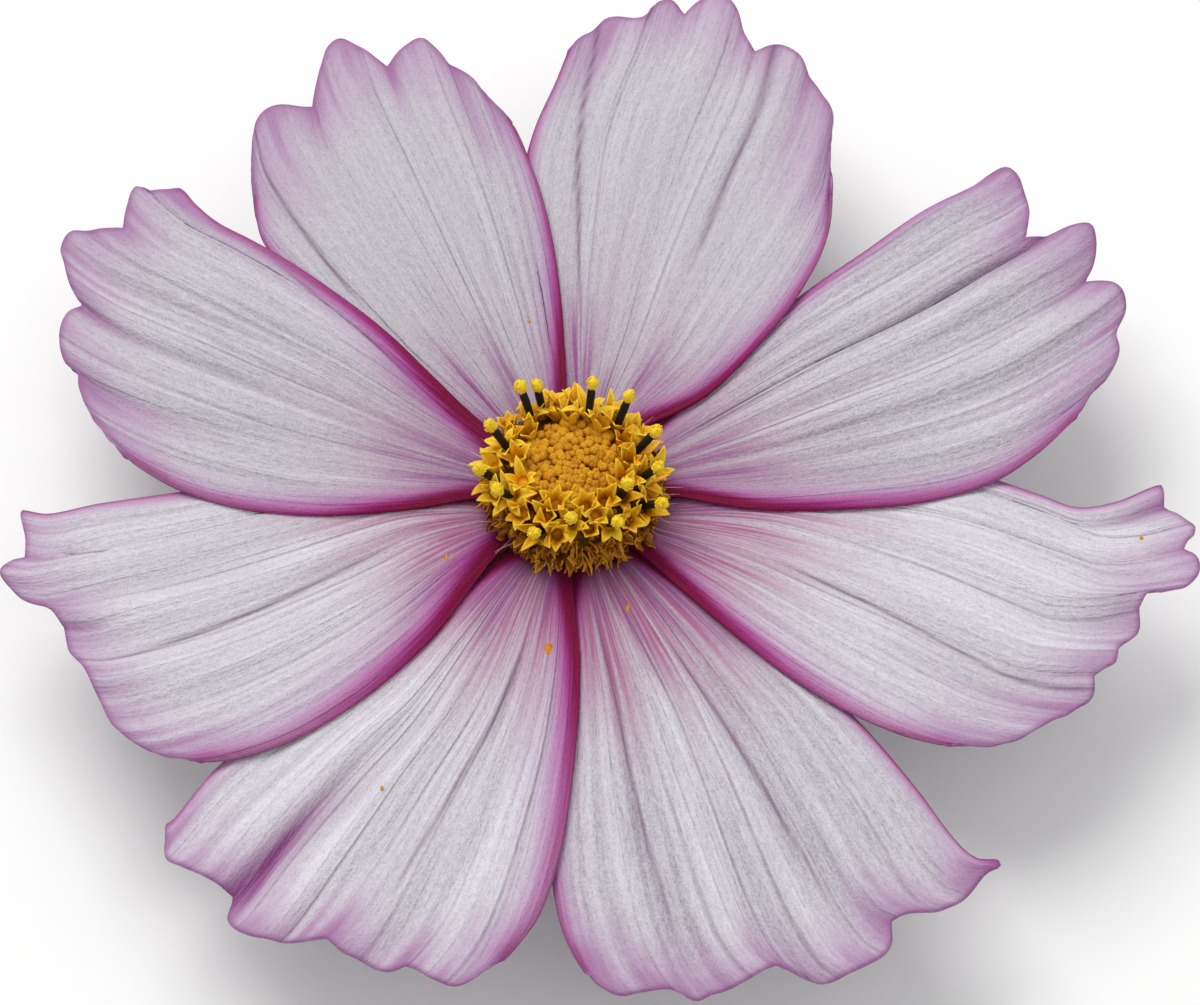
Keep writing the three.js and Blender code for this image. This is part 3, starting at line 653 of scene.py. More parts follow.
    # The magenta pales to 0.42 of its strength towards the tip, and the maroon at its very edge to 0.45.
    # The maroon is partly the rim's own colour and partly painted shade where the edge rolls down. It is
    # also wider near the claw, and the claw itself is painted maroon, partly as painted shade between the
    # claws.
    outer = mapped(tree, read["along"], (0.30, 0.95), (1.0, 0.42))
    inner = mapped(tree, read["along"], (0.20, 0.75), (1.0, 0.45), smooth=True)
    widened = mapped(tree, read["along"], (0.06, 0.45), (0.42, 0.05))
    colour = tinted_where(tree, colour, (
        (rim, 0.35, 1.75, outer, settings.magenta_colour),
        (math_node(tree, "SUBTRACT", rim, widened), 0.26, 0.88, inner, settings.maroon_and_shade_colour),
        (read["margin"], 0.0, 0.50, 0.55, settings.mauve_colour),
        (read["claw"], 0.9, 0.0, 1.0, settings.maroon_and_shade_colour),
    ))

    height = weighted_sum(tree, grain, (
        (streaks["cells"], 1.2), (streaks["fine"], 1.0), (vein, -0.8), (streaks["furrow"], 1.6),
    ))
    inputs = {"Base Color": colour, "Roughness": 0.62, "IOR": 1.4, "Specular IOR Level": 0.25}
    add_surface(tree, inputs, (height, 0.9, 0.00008))
    return material


def floret_material(name, deep, body, light, roughness):
    """Ray and disc tissue dusted with pollen: waxy and rather bright, with painted shade that makes it
    darker and redder down in the florets, between the buds and in the folds of lobes and curls, painted
    highlight on the tips and edges of the lobes and the tops of the buds, and a little different from
    floret to floret."""
    material, tree = new_material(name)
    place = add_node(tree, "ShaderNodeTexCoord", output="Object")
    # Cells and pollen dust are some 0.05 mm; 0.12 mm is the finest that shows.
    dust = noise(tree, place, 8000.0, roughness=0.65)
    patch = noise(tree, place, 1500.0)
    # The tip value paints shade low in the florets and a highlight at their tips and tops.
    mixed = math_node(tree, "MULTIPLY_ADD", attribute(tree, "tip"), 0.55, -0.36)
    mixed = weighted_sum(tree, mixed, ((attribute(tree, "tone"), 0.30), (dust, 0.42), (patch, 0.70)))
    inputs = {
        "Base Color": ramp(tree, mixed, (0.12, deep), (0.45, body), (0.85, light)),
        "Roughness": roughness, "IOR": 1.42, "Specular IOR Level": 0.25,
        "Subsurface Weight": 0.10, "Subsurface Radius": (0.0006, 0.0003, 0.0001), "Subsurface Scale": 1.0,
    }
    add_surface(tree, inputs, (dust, 0.45, 0.00005))
    return material


def anther_material():
    """Joined anthers: a nearly black, finely ribbed and slightly waxy skin, with brown patches of painted
    highlight.
    """
    material, tree = new_material("anther_skin")
    skin = noise(tree, add_node(tree, "ShaderNodeTexCoord", output="Object"), 5000.0, roughness=0.5)
    colour = ramp(tree, skin, (0.35, "#060403"), (0.65, "#100A05"), (0.85, "#33230B"))
    inputs = {"Base Color": colour, "Roughness": 0.55, "Specular IOR Level": 0.3}
    add_surface(tree, inputs, (skin, 0.4, 0.00003))
    return material


def leaf_material(name, deep, body, edge, roughness, bands):
    """Leafy tissue: lengthwise veins across a green or papery body that pales towards its edges."""
    material, tree = new_material(name)
    across, along, tone = (attribute(tree, value) for value in ("across", "along", "tone"))
    blade = add_node(tree, "ShaderNodeCombineXYZ", {0: across, 1: along, 2: tone})
    veins = stretched_noise(tree, blade, (bands, 2.0, 5.0), 3.0, 0.6)
    grain = noise(tree, add_node(tree, "ShaderNodeTexCoord", output="Object"), 3500.0)
    mixed = math_node(tree, "MULTIPLY_ADD", grain, 0.35, veins)
    aside = math_node(tree, "ABSOLUTE", math_node(tree, "SUBTRACT", across, 0.5))
    rim = mapped(tree, aside, (0.34, 0.50), (0.0, 0.85), smooth=True)
    inputs = {
        "Base Color": tinted(tree, ramp(tree, mixed, (0.50, deep), (0.85, body)), rim, edge),
        "Roughness": roughness, "IOR": 1.42,
        "Subsurface Weight": 0.08, "Subsurface Radius": (0.0005, 0.0006, 0.0002), "Subsurface Scale": 1.0,
    }
    add_surface(tree, inputs, (mixed, 0.5, 0.00008))
    return material


# ---- Petals ----------------------------------------------------------------------------------------

PETAL_COLUMNS = 100
PETAL_ROWS = 120

# Points along a side edge and along one lobe, from which distances to them are measured.
EDGE_SAMPLES = 700
LOBE_SAMPLES = 200

# How far apart the petals' patterns lie in the noise, so that no two are alike.
NOISE_STEP = 3.7


def petal_outline(petal):
    """The left edge, the lobes and the right edge, each with the point that it shares with the next."""
    left, lobes = petal["left"], []
    for points in petal["lobes"]:
        lobes.append([(lobes[-1] if lobes else left)[-1], *points])
    return left, lobes, [*petal["right"], lobes[-1][-1]]


def petal_plan(petal):
    """The blade's middle points in plan, as a Coons patch: the straight lines between the claw and the
    margin plus those between the side edges, less the bilinear patch of the four corners. The margin's
    points are shared out over its lobes by their length, so that every notch falls on a grid point."""
    rows, columns = PETAL_ROWS, PETAL_COLUMNS
    left_points, lobe_points, right_points = petal_outline(petal)
    left = [CLAW_ROOT, (CLAW_RADIUS, CLAW_HALF_WIDTH), *left_points]
    right = [(CLAW_ROOT[0], -CLAW_ROOT[1]), (CLAW_RADIUS, -CLAW_HALF_WIDTH), *right_points]
    left = smooth_curve(left, rows + 1, going_to=lobe_points[0][1])
    right = smooth_curve(right, rows + 1, going_to=lobe_points[-1][-2])
    lengths = np.array([length_of(lobe) for lobe in lobe_points])
    notches = np.rint(np.cumsum(lengths) / lengths.sum() * columns).astype(int)
    counts = np.diff([0, *notches])
    lobes = []
    for number, (lobe, count) in enumerate(zip(lobe_points, counts)):
        coming_from = left_points[-2] if number == 0 else None
        going_to = right_points[-2] if number == len(lobe_points) - 1 else None
        lobes.append(smooth_curve(lobe, count + 1, coming_from, going_to)[:-1])
    margin = np.vstack([*lobes, lobe_points[-1][-1:]])
    across = np.linspace(0, 1, columns + 1)[None, :, None]
    along = np.linspace(0, 1, rows + 1)[:, None, None]
    claw = left[0] + (right[0] - left[0]) * across
    outwards = (1 - along) * claw + along * margin
    sideways = (1 - across) * left[:, None] + across * right[:, None]
    corners = (
        (1 - across) * ((1 - along) * left[0] + along * left[-1])
        + across * ((1 - along) * right[0] + along * right[-1])
    )
    return outwards + sideways - corners, notches[:-1] / columns


def distance_to(points, line):
    """Distance of every grid point from the nearest of a line's closely spaced points."""
    flat = points.reshape(-1, 2)
    nearest = np.full(len(flat), np.inf)
    for part in np.array_split(line, 8):
        apart = np.hypot(flat[:, None, 0] - part[:, 0], flat[:, None, 1] - part[:, 1])
        nearest = np.minimum(nearest, apart.min(1))
    return nearest.reshape(points.shape[:2])


def line_across(across, along, line, width):
    """How far every grid point lies sideways of a line from (across, along) to (across, along), in
    millimetres, and the line's strength there, which fades at its ends."""
    start, first, end, last = line[:4]
    share = (along - first) / (last - first)
    sideways = (across - (start + (end - start) * share)) * width
    fade = smoothstep(-0.02, 0.25, share) * (1 - smoothstep(0.85 if last < 1 else 1.2, 1.3, share))
    return sideways, fade


def petal_part(name, petal, thickness):
    """A petal as a closed blade. Its height is the rise of a shallow arch outwards, a lift or a drop to
    each side where it laps its neighbour, five pleats and finer ribs that fade towards the claw and the
    side edges, a sharp dip at each crease, a soft one at each valley, and a slight wave of the margin."""
    number = int(name[-1])
    random = np.random.default_rng(SEED + number)
    plan, notches = petal_plan(petal)
    u, v = plan[..., 0], plan[..., 1]
    across = np.broadcast_to(np.linspace(0, 1, PETAL_COLUMNS + 1), u.shape)
    along = np.broadcast_to(np.linspace(0, 1, PETAL_ROWS + 1)[:, None], u.shape)
    width = np.hypot(*(plan[:, 0] - plan[:, -1]).T)[:, None]
    side = 1 - (2 * across - 1) ** 2

    left_points, lobe_points, right_points = petal_outline(petal)
    left_edge = smooth_curve([(CLAW_RADIUS, CLAW_HALF_WIDTH), *left_points], EDGE_SAMPLES)
    right_edge = smooth_curve([(CLAW_RADIUS, -CLAW_HALF_WIDTH), *right_points], EDGE_SAMPLES)
    margin_edge = np.vstack([smooth_curve(lobe, LOBE_SAMPLES) for lobe in lobe_points])
    from_left, from_right = distance_to(plan, left_edge), distance_to(plan, right_edge)
    from_margin = distance_to(plan, margin_edge)

    rise = PETAL_RISE * np.sin(0.6 * np.pi * (u - CLAW_RADIUS) / PETAL_LENGTH)
    offset = np.clip(v / (math.tan(EIGHTH_TURN / 2) * np.hypot(u, v)), -1.3, 1.3)
    left_lap, right_lap = petal["lap"]
    lap = LAP_LIFT * left_lap * (offset**2 if left_lap == right_lap else offset)

    drift = 0.25 * ripple(along[:, :1], random, 3, 0.3, 1.2)
    pleat = np.cos(2 * np.pi * (PLEATS * across + drift * side)) * petal["pleat"]
    ribs = ripple(across[0], random, 9, 8, 20)[None, :]
    ribs = ribs * (1 + 0.4 * ripple(along[:, :1], random, 3, 0.5, 2))
    grown = along**1.5
    relief = PLEAT_HEIGHT * pleat * side * grown + RIB_HEIGHT * ribs * smoothstep(0.04, 0.35, along)

    crease = np.zeros_like(u)
    for line in petal["creases"]:
        sideways, fade = line_across(across, along, line, width)
        relief = relief - line[4] * fade * np.exp(-np.abs(sideways) / CREASE_WIDTH)
        # Each crease also gets a dark line along its dip, which is painted shade.
        crease = np.maximum(crease, fade * bell(sideways, CREASE_SHADE_WIDTH))
    mauve = np.zeros_like(u)
    for line in petal["valleys"]:
        sideways, fade = line_across(across, along, line, width)
        relief = relief - line[4] * fade * bell(sideways, VALLEY_WIDTH)
        # A valley's mauve stain is partly the petal's own mauve and partly painted shade in the valley.
        stain_and_shade = line[5] * smoothstep(0.55, 0.92, along)
        mauve = np.maximum(mauve, stain_and_shade * fade * bell(sideways, VALLEY_STAIN_AND_SHADE))
    for notch, reach in zip(notches, random.uniform(3.0, 7.5, len(notches))):
        sideways = (across - notch) * width
        fade = 1 - smoothstep(0, reach, from_margin)
        relief = relief - NOTCH_DEPTH * fade * bell(sideways, NOTCH_WIDTH)
        mauve = np.maximum(mauve, 0.6 * fade * bell(sideways, NOTCH_STAIN))
    for place in random.uniform(0.12, 0.88, CLAW_STREAKS):
        reach = random.uniform(0.22, 0.45)
        fade = smoothstep(0.0, 0.05, along) * (1 - smoothstep(0.5 * reach, reach, along))
        mauve = np.maximum(mauve, 0.8 * fade * bell(across - place, CLAW_STREAK_SHARE))

    wave = ripple(across[0], random, 4, 0.8, 3.2)[None, :] * smoothstep(0.7, 1.0, along)
    unrolled = np.minimum(from_left, from_right)
    roll = -EDGE_ROLL * np.clip(1 - unrolled / EDGE_ROLL_WIDTH, 0, 1) ** 2 * smoothstep(0.02, 0.2, along)
    height = CLAW_HEIGHT + rise + lap + relief + MARGIN_WAVE * wave + roll
    for place, reach, lift in petal.get("curls", ()):
        curled = np.clip(1 - np.hypot(u - place[0], v - place[1]) / reach, 0, 1) ** 1.6
        height = height + lift * curled
        mauve = np.maximum(mauve, 1.3 * curled)

    left_rim, right_rim = (np.interp(along, (0.0, 0.5, 1.0), widths) for widths in petal["rims"])
    values = {
        "across": across,
        "along": along,
        "petal": np.full_like(u, NOISE_STEP * number),
        "rim": np.minimum(from_left / left_rim, from_right / right_rim),
        "margin": from_margin,
        "mauve": mauve,
        "crease": crease,
        # The relief also tints the colour: painted shade where the blade dips, painted light where it
        # rises.
        "relief": np.clip(relief / 0.5, -0.6, 0.6) * 0.09,
        "claw": 1 - smoothstep(0.0, 0.12, along),
        "contrast": np.full_like(u, petal["pleat"]),
        # pale is painted light for the whole blade; flush is how strongly the claw's colour runs out.
        **{key: np.full_like(u, petal[key]) for key in ("pale", "flush")},
    }
    middle = np.stack([u, v, height], -1)
    thinned = thickness * (1 - TIP_THINNING * smoothstep(0.5, 1.0, along))
    part = blade_part(middle, thinned, values)
    return turned_part(part, turn("Z", petal["eighths"] * EIGHTH_TURN))


# ---- Disc ------------------------------------------------------------------------------------------

# The closed buds and the zone that they fill, the power of their spiral, and the height of an open
# floret's throat over the dome. A floret has five lobes.
BUDS = 138
BUD_ZONE_RADIUS = 3.35
SPIRAL_POWER = 0.72
THROAT_HEIGHT = 0.95
LOBES = 5
LOBE_THICKNESS = 0.07
STRAY_GRAINS = 90


def stood_floret(part, floret, spin=0.0, sink=0.0):
    """A part of an open floret, stood on the dome by its direction, distance and lean."""
    degrees, radius, lean = floret[:3]
    return stood_on_dome(part, math.radians(degrees), radius, math.radians(lean), spin, sink)


def bent_line(lean, length):
    """How far out and how high each point of a line lies that leans from upright by a changing angle."""
    step = length / (len(lean) - 1)
    reach = np.concatenate([[0], np.cumsum(np.sin(lean[1:]) * step)])
    height = np.concatenate([[0], np.cumsum(np.cos(lean[1:]) * step)])
    return reach, height


def bud_part(width, random):
    """A closed floret: a knob on a short stem whose radius swells and rounds off, times a five-lobed wave
    that grows towards the top, where the lobes meet in a shallow star."""
    heights = np.array([-0.9, -0.3, 0.0, 0.14, 0.28, 0.40, 0.47, 0.50]) * width
    heights[:2] = (-0.9, -0.25)
    radii = np.array([0.30, 0.36, 0.46, 0.50, 0.46, 0.33, 0.18, 0.06]) * width
    rings = turned_rings(radii, heights, 15)
    share = np.linspace(0, 1, len(radii))[:, None]
    wave = np.cos(LOBES * around_turn(15))[None, :]
    rings[..., :2] *= (1 + 0.20 * share * wave)[..., None]
    rings[..., 2] += 0.10 * width * wave * share**2
    tone = np.full(rings.shape[:2], random.uniform())
    # Its tip value, the share of its height, paints shade at its foot between the buds and a highlight on
    # its top.
    return tube_part(rings, {"tone": tone, "tip": np.broadcast_to(share, rings.shape[:2])})


def buds_part(random):
    """Closed florets in a spiral: each turns the golden angle from the last, and the distance from the axis
    grows with a power of its number, so that they are smaller and closer in the middle."""
    shares = (np.arange(BUDS) + 0.4) / BUDS
    distances = BUD_ZONE_RADIUS * shares**SPIRAL_POWER
    room = 2 * np.pi * BUD_ZONE_RADIUS**2 * SPIRAL_POWER * shares**0.44 / BUDS
    widths = (0.08 + 1.28 * np.sqrt(room)) * random.uniform(0.78, 1.18, BUDS)
    parts = []
    for number, (distance, width) in enumerate(zip(distances, widths)):
        bud = bud_part(width, random)
        lean = 0.10 * distance + random.normal(0, 0.22)
        sink = 0.06 - 0.10 * smoothstep(1.2, 3.3, distance) + random.uniform(-0.14, 0.12)
        spin = random.uniform(0, 2 * np.pi)
        direction = number * GOLDEN_ANGLE + random.normal(0, 0.10) / (distance + 0.3)
        parts.append(stood_on_dome(bud, direction, distance + random.normal(0, 0.05), lean, spin, sink))
    return joined_parts(parts)


def lobe_part(length, width, start_lean, end_lean, tone, fold=0.50):
    """One lobe of an open floret: a pointed leaf folded along its middle. Its middle line leaves the throat
    at one lean from upright and bends ever faster to another, and its half width is that of a leaf."""
    t = np.linspace(0, 1, 9)
    s = np.linspace(-1, 1, 5)
    lean = start_lean + (end_lean - start_lean) * t**1.3
    reach, height = bent_line(lean, length)
    reach, height = 0.36 + reach, THROAT_HEIGHT - 0.15 + height
    half = width / 2 * (0.70 + 0.9 * t - 1.57 * t**2) / 0.83
    up = np.stack([-np.cos(lean), np.zeros_like(lean), np.sin(lean)], -1)
    middle = np.stack([reach, np.zeros_like(reach), height], -1)[:, None, :]
    middle = middle + up[:, None, :] * (fold * half[:, None] * np.abs(s) ** 1.3)[..., None]
    middle[..., 1] += half[:, None] * s
    # The tip value paints shade in the throat and along the middle fold, and a highlight towards the tip
    # and the edges.
    tips = t[:, None] * (0.70 + 0.40 * np.abs(s))
    return blade_part(middle, LOBE_THICKNESS, {"tone": np.full_like(tips, tone), "tip": tips})


def corolla_part(random, length, openness):
    """An open floret: a tube that flares to its throat and five lobes set evenly round it."""
    tone = random.uniform()
    rings = turned_rings([0.26, 0.30, 0.36, 0.44], [-0.9, 0.0, 0.5, THROAT_HEIGHT], 10)
    flat = np.zeros(rings.shape[:2])
    parts = [tube_part(rings, {"tone": flat + tone, "tip": flat})]
    for number in range(LOBES):
        reach = length * random.uniform(0.72, 1.12)
        bend = openness * random.uniform(0.6, 1.5)
        width, lobe_tone = random.uniform(0.62, 0.92), tone + random.normal(0, 0.15)
        lobe = lobe_part(reach, width, 0.35 * openness, bend, lobe_tone)
        twist = turn("Z", number * 2 * np.pi / LOBES + random.normal(0, 0.16))
        parts.append(turned_part(lobe, twist))
    return joined_parts(parts)


def corollas_part(random):
    """The open florets round the buds, and between them some that are only opening."""
    parts = []
    for place in OPEN_FLORETS:
        back, spin = math.sin(math.radians(place[0])), random.uniform(0, 1.3)
        openness = random.uniform(0.9, 1.3) + 0.25 * (1 + back)
        floret = corolla_part(random, random.uniform(1.55, 2.0), openness)
        parts.append(stood_floret(floret, place, spin, 0.20 + 0.20 * back))
    for place in OPENING_FLORETS:
        floret = corolla_part(random, random.uniform(1.35, 1.9), random.uniform(0.3, 1.0))
        back, spin = math.sin(math.radians(place[0])), random.uniform(0, 1.3)
        parts.append(stood_floret(floret, place, spin, 0.48 + 0.48 * back - 0.1 * (place[1] > 3.8)))
    return joined_parts(parts)


def anthers_part():
    """The dark tubes of joined anthers: five-ribbed columns that stand out of the open florets."""
    parts = []
    for place in OPEN_FLORETS:
        heights = np.array([0.1, 0.8, 1.1, *np.linspace(1.4, 1.0 + place[3] - 0.30, 4)])
        rings = turned_rings([0.17, 0.21, 0.24, 0.26, 0.27, 0.27, 0.22], heights, 10)
        rings[..., :2] *= (1 + 0.07 * np.cos(LOBES * around_turn(10)))[None, :, None]
        share = np.broadcast_to(np.linspace(0, 1, 7)[:, None], rings.shape[:2])
        parts.append(stood_floret(tube_part(rings, {"tip": share}), place))
    return joined_parts(parts)


def grains_part(centres, sizes):
    """Many small eight-sided grains, each with its own middle and size."""
    corners = np.array([(1, 0, 0), (-1, 0, 0), (0, 1, 0), (0, -1, 0), (0, 0, 1), (0, 0, -1)], float)
    sides = np.array([
        (4, 0, 2), (4, 2, 1), (4, 1, 3), (4, 3, 0), (5, 2, 0), (5, 1, 2), (5, 3, 1), (5, 0, 3),
    ])
    vertices = (centres[:, None, :] + corners[None] * sizes[:, None, None]).reshape(-1, 3)
    faces = (sides[None] + 6 * np.arange(len(centres))[:, None, None]).reshape(-1, 3)
    return vertices, [faces], {"tone": np.full(len(vertices), 0.5), "tip": np.full(len(vertices), 0.5)}


def pollen_part(random):
    """The knobs of pollen that the style pushes out of each anther tube: a lumpy ball with a shallow cleft
    between the style's two arms, covered with loose grains."""
    parts = []
    for place in OPEN_FLORETS:
        t = np.linspace(0.04, 0.96, 9) * np.pi
        rings = turned_rings(np.sin(t) ** 0.75, -np.cos(t), 14)
        angles = around_turn(14)
        lumps = 1 + 0.05 * random.standard_normal(rings.shape[:2]) * np.sin(t)[:, None]
        cleft = 1 + 0.14 * np.cos(2 * angles)[None, :] * smoothstep(-0.2, 1.0, rings[..., 2])
        size = random.uniform(0.34, 0.40)
        rings = rings * (lumps * cleft)[..., None] * np.array([size, size, 1.2 * size])
        ways = random.standard_normal((STRAY_GRAINS, 3))
        ways /= np.linalg.norm(ways, axis=1, keepdims=True)
        stray = ways * random.uniform(0.90, 1.12, (STRAY_GRAINS, 1)) * np.array([size, size, 1.15 * size])
        half = np.full(rings.shape[:2], 0.5)
        ball = tube_part(rings, {"tone": half, "tip": half})
        grains = grains_part(stray, random.uniform(0.05, 0.11, STRAY_GRAINS))
        knob = turned_part(joined_parts([ball, grains]), np.eye(3), (0, 0, 1.0 + place[3]))
        parts.append(stood_floret(knob, place, random.uniform(0, np.pi)))
    return joined_parts(parts)


def curl_part(random, length, width, start_lean, bend, twist, tone):
    """A shrivelled lobe: a strip whose middle line bends evenly while the strip twists about it, folded
    along its middle, with a ragged half width that runs out to a point."""
    t = np.linspace(0, 1, 10)
    s = np.linspace(-1, 1, 4)
    lean = start_lean + bend * t**1.2
    reach, height = bent_line(lean, length)
    half = width / 2 * (0.55 + 1.1 * t - 1.6 * t**2) * (1 + 0.22 * random.standard_normal(len(t)))
    turned = twist * t
    flat = np.stack([-np.cos(lean), np.zeros_like(lean), np.sin(lean)], -1)
    sideways = np.array([0.0, 1.0, 0.0])
    wide = np.cos(turned)[:, None] * sideways + np.sin(turned)[:, None] * flat
    thick = np.cos(turned)[:, None] * flat - np.sin(turned)[:, None] * sideways
    middle = np.stack([reach, np.zeros_like(reach), height], -1)[:, None, :]
    middle = middle + wide[:, None, :] * (half[:, None] * s)[..., None]
    middle = middle + thick[:, None, :] * (0.7 * half[:, None] * np.abs(s))[..., None]
    # The tip value paints shade in the middle fold and at the root, and a highlight on the edges.
    tips = 0.15 + 0.75 * np.abs(s) * np.sqrt(t[:, None])
    return blade_part(middle, LOBE_THICKNESS, {"tone": np.full_like(tips, tone), "tip": tips})


def withered_part(random):
    """The old florets round the disc's side: four rings, each floret four curls that start together. They
    lean further out and hang lower from ring to ring, and are longest towards the front."""
    parts = []
    for count, radius, height, lean, length in (
        (32, 4.8, 10.8, 0.60, 1.15), (38, 5.2, 10.2, 0.90, 1.20),
        (40, 5.3, 9.5, 1.20, 1.25), (36, 5.1, 8.9, 1.45, 1.15),
    ):
        for number in range(count):
            angle = 2 * np.pi * (number + random.uniform(-0.3, 0.3)) / count
            nearness = 0.5 - 0.5 * math.sin(angle)
            root = turn("Z", angle) @ np.array([radius - 0.2, 0.0, height])
            tone = random.uniform()
            for _ in range(4):
                curl = curl_part(
                    random, length * (0.8 + 0.75 * nearness) * random.uniform(0.6, 1.1),
                    random.uniform(0.6, 1.1), lean + random.normal(0, 0.7),
                    random.normal(0.3, 2.0), random.uniform(-4.5, 4.5), tone + random.normal(0, 0.3),
                )
                swing = turn("Z", angle + random.normal(0, 0.55))
                parts.append(turned_part(curl, swing, root + random.normal(0, 0.08, 3)))
    return joined_parts(parts)


def hairs_part(random):
    """Stiff pale hairs, the pappus and the tips of the chaff: thin tapered needles from the disc's side."""
    parts = []
    for angle in np.sort(random.uniform(0, 2 * np.pi, 64)):
        length = random.uniform(0.9, 2.1)
        rings = turned_rings([0.030, 0.024, 0.015, 0.005], np.linspace(0, length, 4), 4)
        rings[..., 0] += 0.10 * (rings[..., 2] / length) ** 2 * random.normal(0, 1.0)
        needle = tube_part(rings, {"tip": np.broadcast_to(np.linspace(0, 1, 4)[:, None], (4, 4))})
        matrix = turn("Z", angle + random.normal(0, 0.15)) @ turn("Y", random.normal(1.45, 0.22))
        root = turn("Z", angle) @ np.array([random.uniform(4.9, 5.5), 0.0, random.uniform(9.0, 10.0)])
        parts.append(turned_part(needle, matrix, root))
    return joined_parts(parts)


def core_part():
    """The receptacle that the florets stand on, turned round the axis from its profile."""
    profile = smooth_curve([*CORE_PLUG[1:], *CORE_DOME[:-1]], 30)
    rings = turned_rings(profile[:, 0], profile[:, 1], 64)
    return tube_part(rings)


# ---- Bracts and stalk ------------------------------------------------------------------------------

# A bract's half width swells as the part of half a wave between two phases. The spines are (distance from
# the axis, height). Three outer bracts stand on the ground round the flower's weight, and five spread.
BRACT_ROWS = 48
BRACT_COLUMNS = 25
BRACT_ROOT_PHASE = 0.25
BRACT_TIP_PHASE = 0.98
BRACT_LEAST_WIDTH = 0.25
INNER_SPINE = [(2.4, 6.5), (5.0, 6.48), (7.6, 6.68), (9.6, 6.95)]
STANDING_SPINE = [(2.0, 5.0), (5.0, 4.7), (7.4, 2.4), (9.0, 0.6), (10.4, 0.3)]
SPREADING_SPINE = [(2.0, 5.0), (5.0, 5.0), (8.0, 4.3), (11.0, 2.4)]
STANDING_BRACTS = (0, 3, 5)


def bract_part(spine, width, gutter, eighths, thickness, ribs, random):
    """A bract: its spine times a half width that swells from the root as half a wave and runs out to the
    tip. Its sides stand over the midrib by the square of the distance from it, and a cosine across it
    raises the ribs. A bract that reaches the ground is pressed flat on it."""
    line = smooth_curve(spine, BRACT_ROWS)
    t = np.linspace(0, 1, BRACT_ROWS)
    s = np.linspace(1, -1, BRACT_COLUMNS)
    swell = np.sin(np.pi * (BRACT_ROOT_PHASE + (BRACT_TIP_PHASE - BRACT_ROOT_PHASE) * t))
    half = width / 2 * (BRACT_LEAST_WIDTH + (1 - BRACT_LEAST_WIDTH) * swell)
    half = half * (1 - smoothstep(0.86, 1.03, t))
    middle = np.zeros((BRACT_ROWS, BRACT_COLUMNS, 3))
    middle[..., 0] = line[:, 0, None]
    middle[..., 1] = half[:, None] * s
    rib = 0.035 * np.cos(np.pi * ribs * s) * smoothstep(0, 0.2, t)[:, None]
    wave = 0.06 * ripple(t, random, 3, 1, 3)[:, None]
    middle[..., 2] = line[:, 1, None] + gutter * s**2 * (1 - t[:, None]) + rib + wave
    middle[..., 2] = np.maximum(middle[..., 2], thickness / 2)
    across = np.broadcast_to((1 - s) / 2, middle.shape[:2])
    values = {
        "across": across,
        "along": np.broadcast_to(t[:, None], across.shape),
        "tone": np.full(across.shape, random.uniform()),
    }
    return turned_part(blade_part(middle, thickness, values), turn("Z", eighths * EIGHTH_TURN))


def ribbed_part(profile, ribs, depth, around=96):
    """A body turned round the axis from a profile of (radius, height), its radius waved by its ribs."""
    line = smooth_curve(profile, 24)
    rings = turned_rings(line[:, 0], line[:, 1], around)
    angles = around_turn(around)
    rings[..., :2] *= (1 + depth * np.cos(ribs * angles))[None, :, None]
    along = np.broadcast_to(np.linspace(0, 1, 24)[:, None], rings.shape[:2])
    across = np.broadcast_to(angles / (2 * np.pi), rings.shape[:2])
    return tube_part(rings, {"across": across, "along": along, "tone": np.full(along.shape, 0.5)})


def inner_bracts_part(random):
    """The thin inner bracts, fused into the cup that carries them."""
    cup = ribbed_part([(0.6, 6.2), (3.3, 6.2), (3.6, 6.35), (3.6, 6.7), (3.3, 6.85), (0.6, 6.85)], 8, 0.01)
    blades = [bract_part(INNER_SPINE, 4.6, 0.0, n, 0.34, 9, random) for n in range(8)]
    return joined_parts([cup, *blades])


def outer_bracts_part(random):
    """The green outer bracts, fused into the calyx base."""
    profile = [
        (0.4, 3.0), (1.3, 3.0), (1.7, 3.6), (2.7, 4.6), (3.1, 5.3), (3.1, 5.8), (2.8, 5.95), (0.4, 6.15),
    ]
    parts = [ribbed_part(profile, 8, 0.025)]
    for number in range(8):
        spine = STANDING_SPINE if number in STANDING_BRACTS else SPREADING_SPINE
        parts.append(bract_part(spine, 2.4, 0.3, number + 0.5, 0.42, 5, random))
    return joined_parts(parts)


def stalk_part():
    """The stalk's stub, cut straight across, its side ribbed and its cut end slightly dished."""
    profile = [(0.15, 0.66), (0.7, 0.62), (0.98, 0.60), (1.02, 0.70), (1.05, 1.8), (1.12, 2.6), (1.25, 3.1)]
    return ribbed_part(profile, 9, 0.035)


def specks_part(petal_parts, random):
    """Pollen that has fallen on the petals: small lumpy heaps of grains on the blades' upper faces."""
    parts = []
    for name, across, along, size in POLLEN_GRAINS:
        vertices = petal_parts[name][0]
        row, column = round(along * PETAL_ROWS), round(across * PETAL_COLUMNS)
        place = vertices[row * (PETAL_COLUMNS + 1) + column]
        spread = random.standard_normal((int(260 * size), 3)) * np.array([0.13, 0.20, 0.03]) * size
        spread[:, 1] += random.uniform(-0.5, 0.5, len(spread)) * size * 0.7
        spread[:, 2] = np.abs(spread[:, 2]) + 0.02
        parts.append(grains_part(place + spread, random.uniform(0.03, 0.07, len(spread))))
    return joined_parts(parts)


# ---- Settings --------------------------------------------------------------------------------------

def colour_property(name, description, default):
    """A setting that holds an sRGB hex colour."""
    return bpy.props.StringProperty(name=name, description=description, default=default)


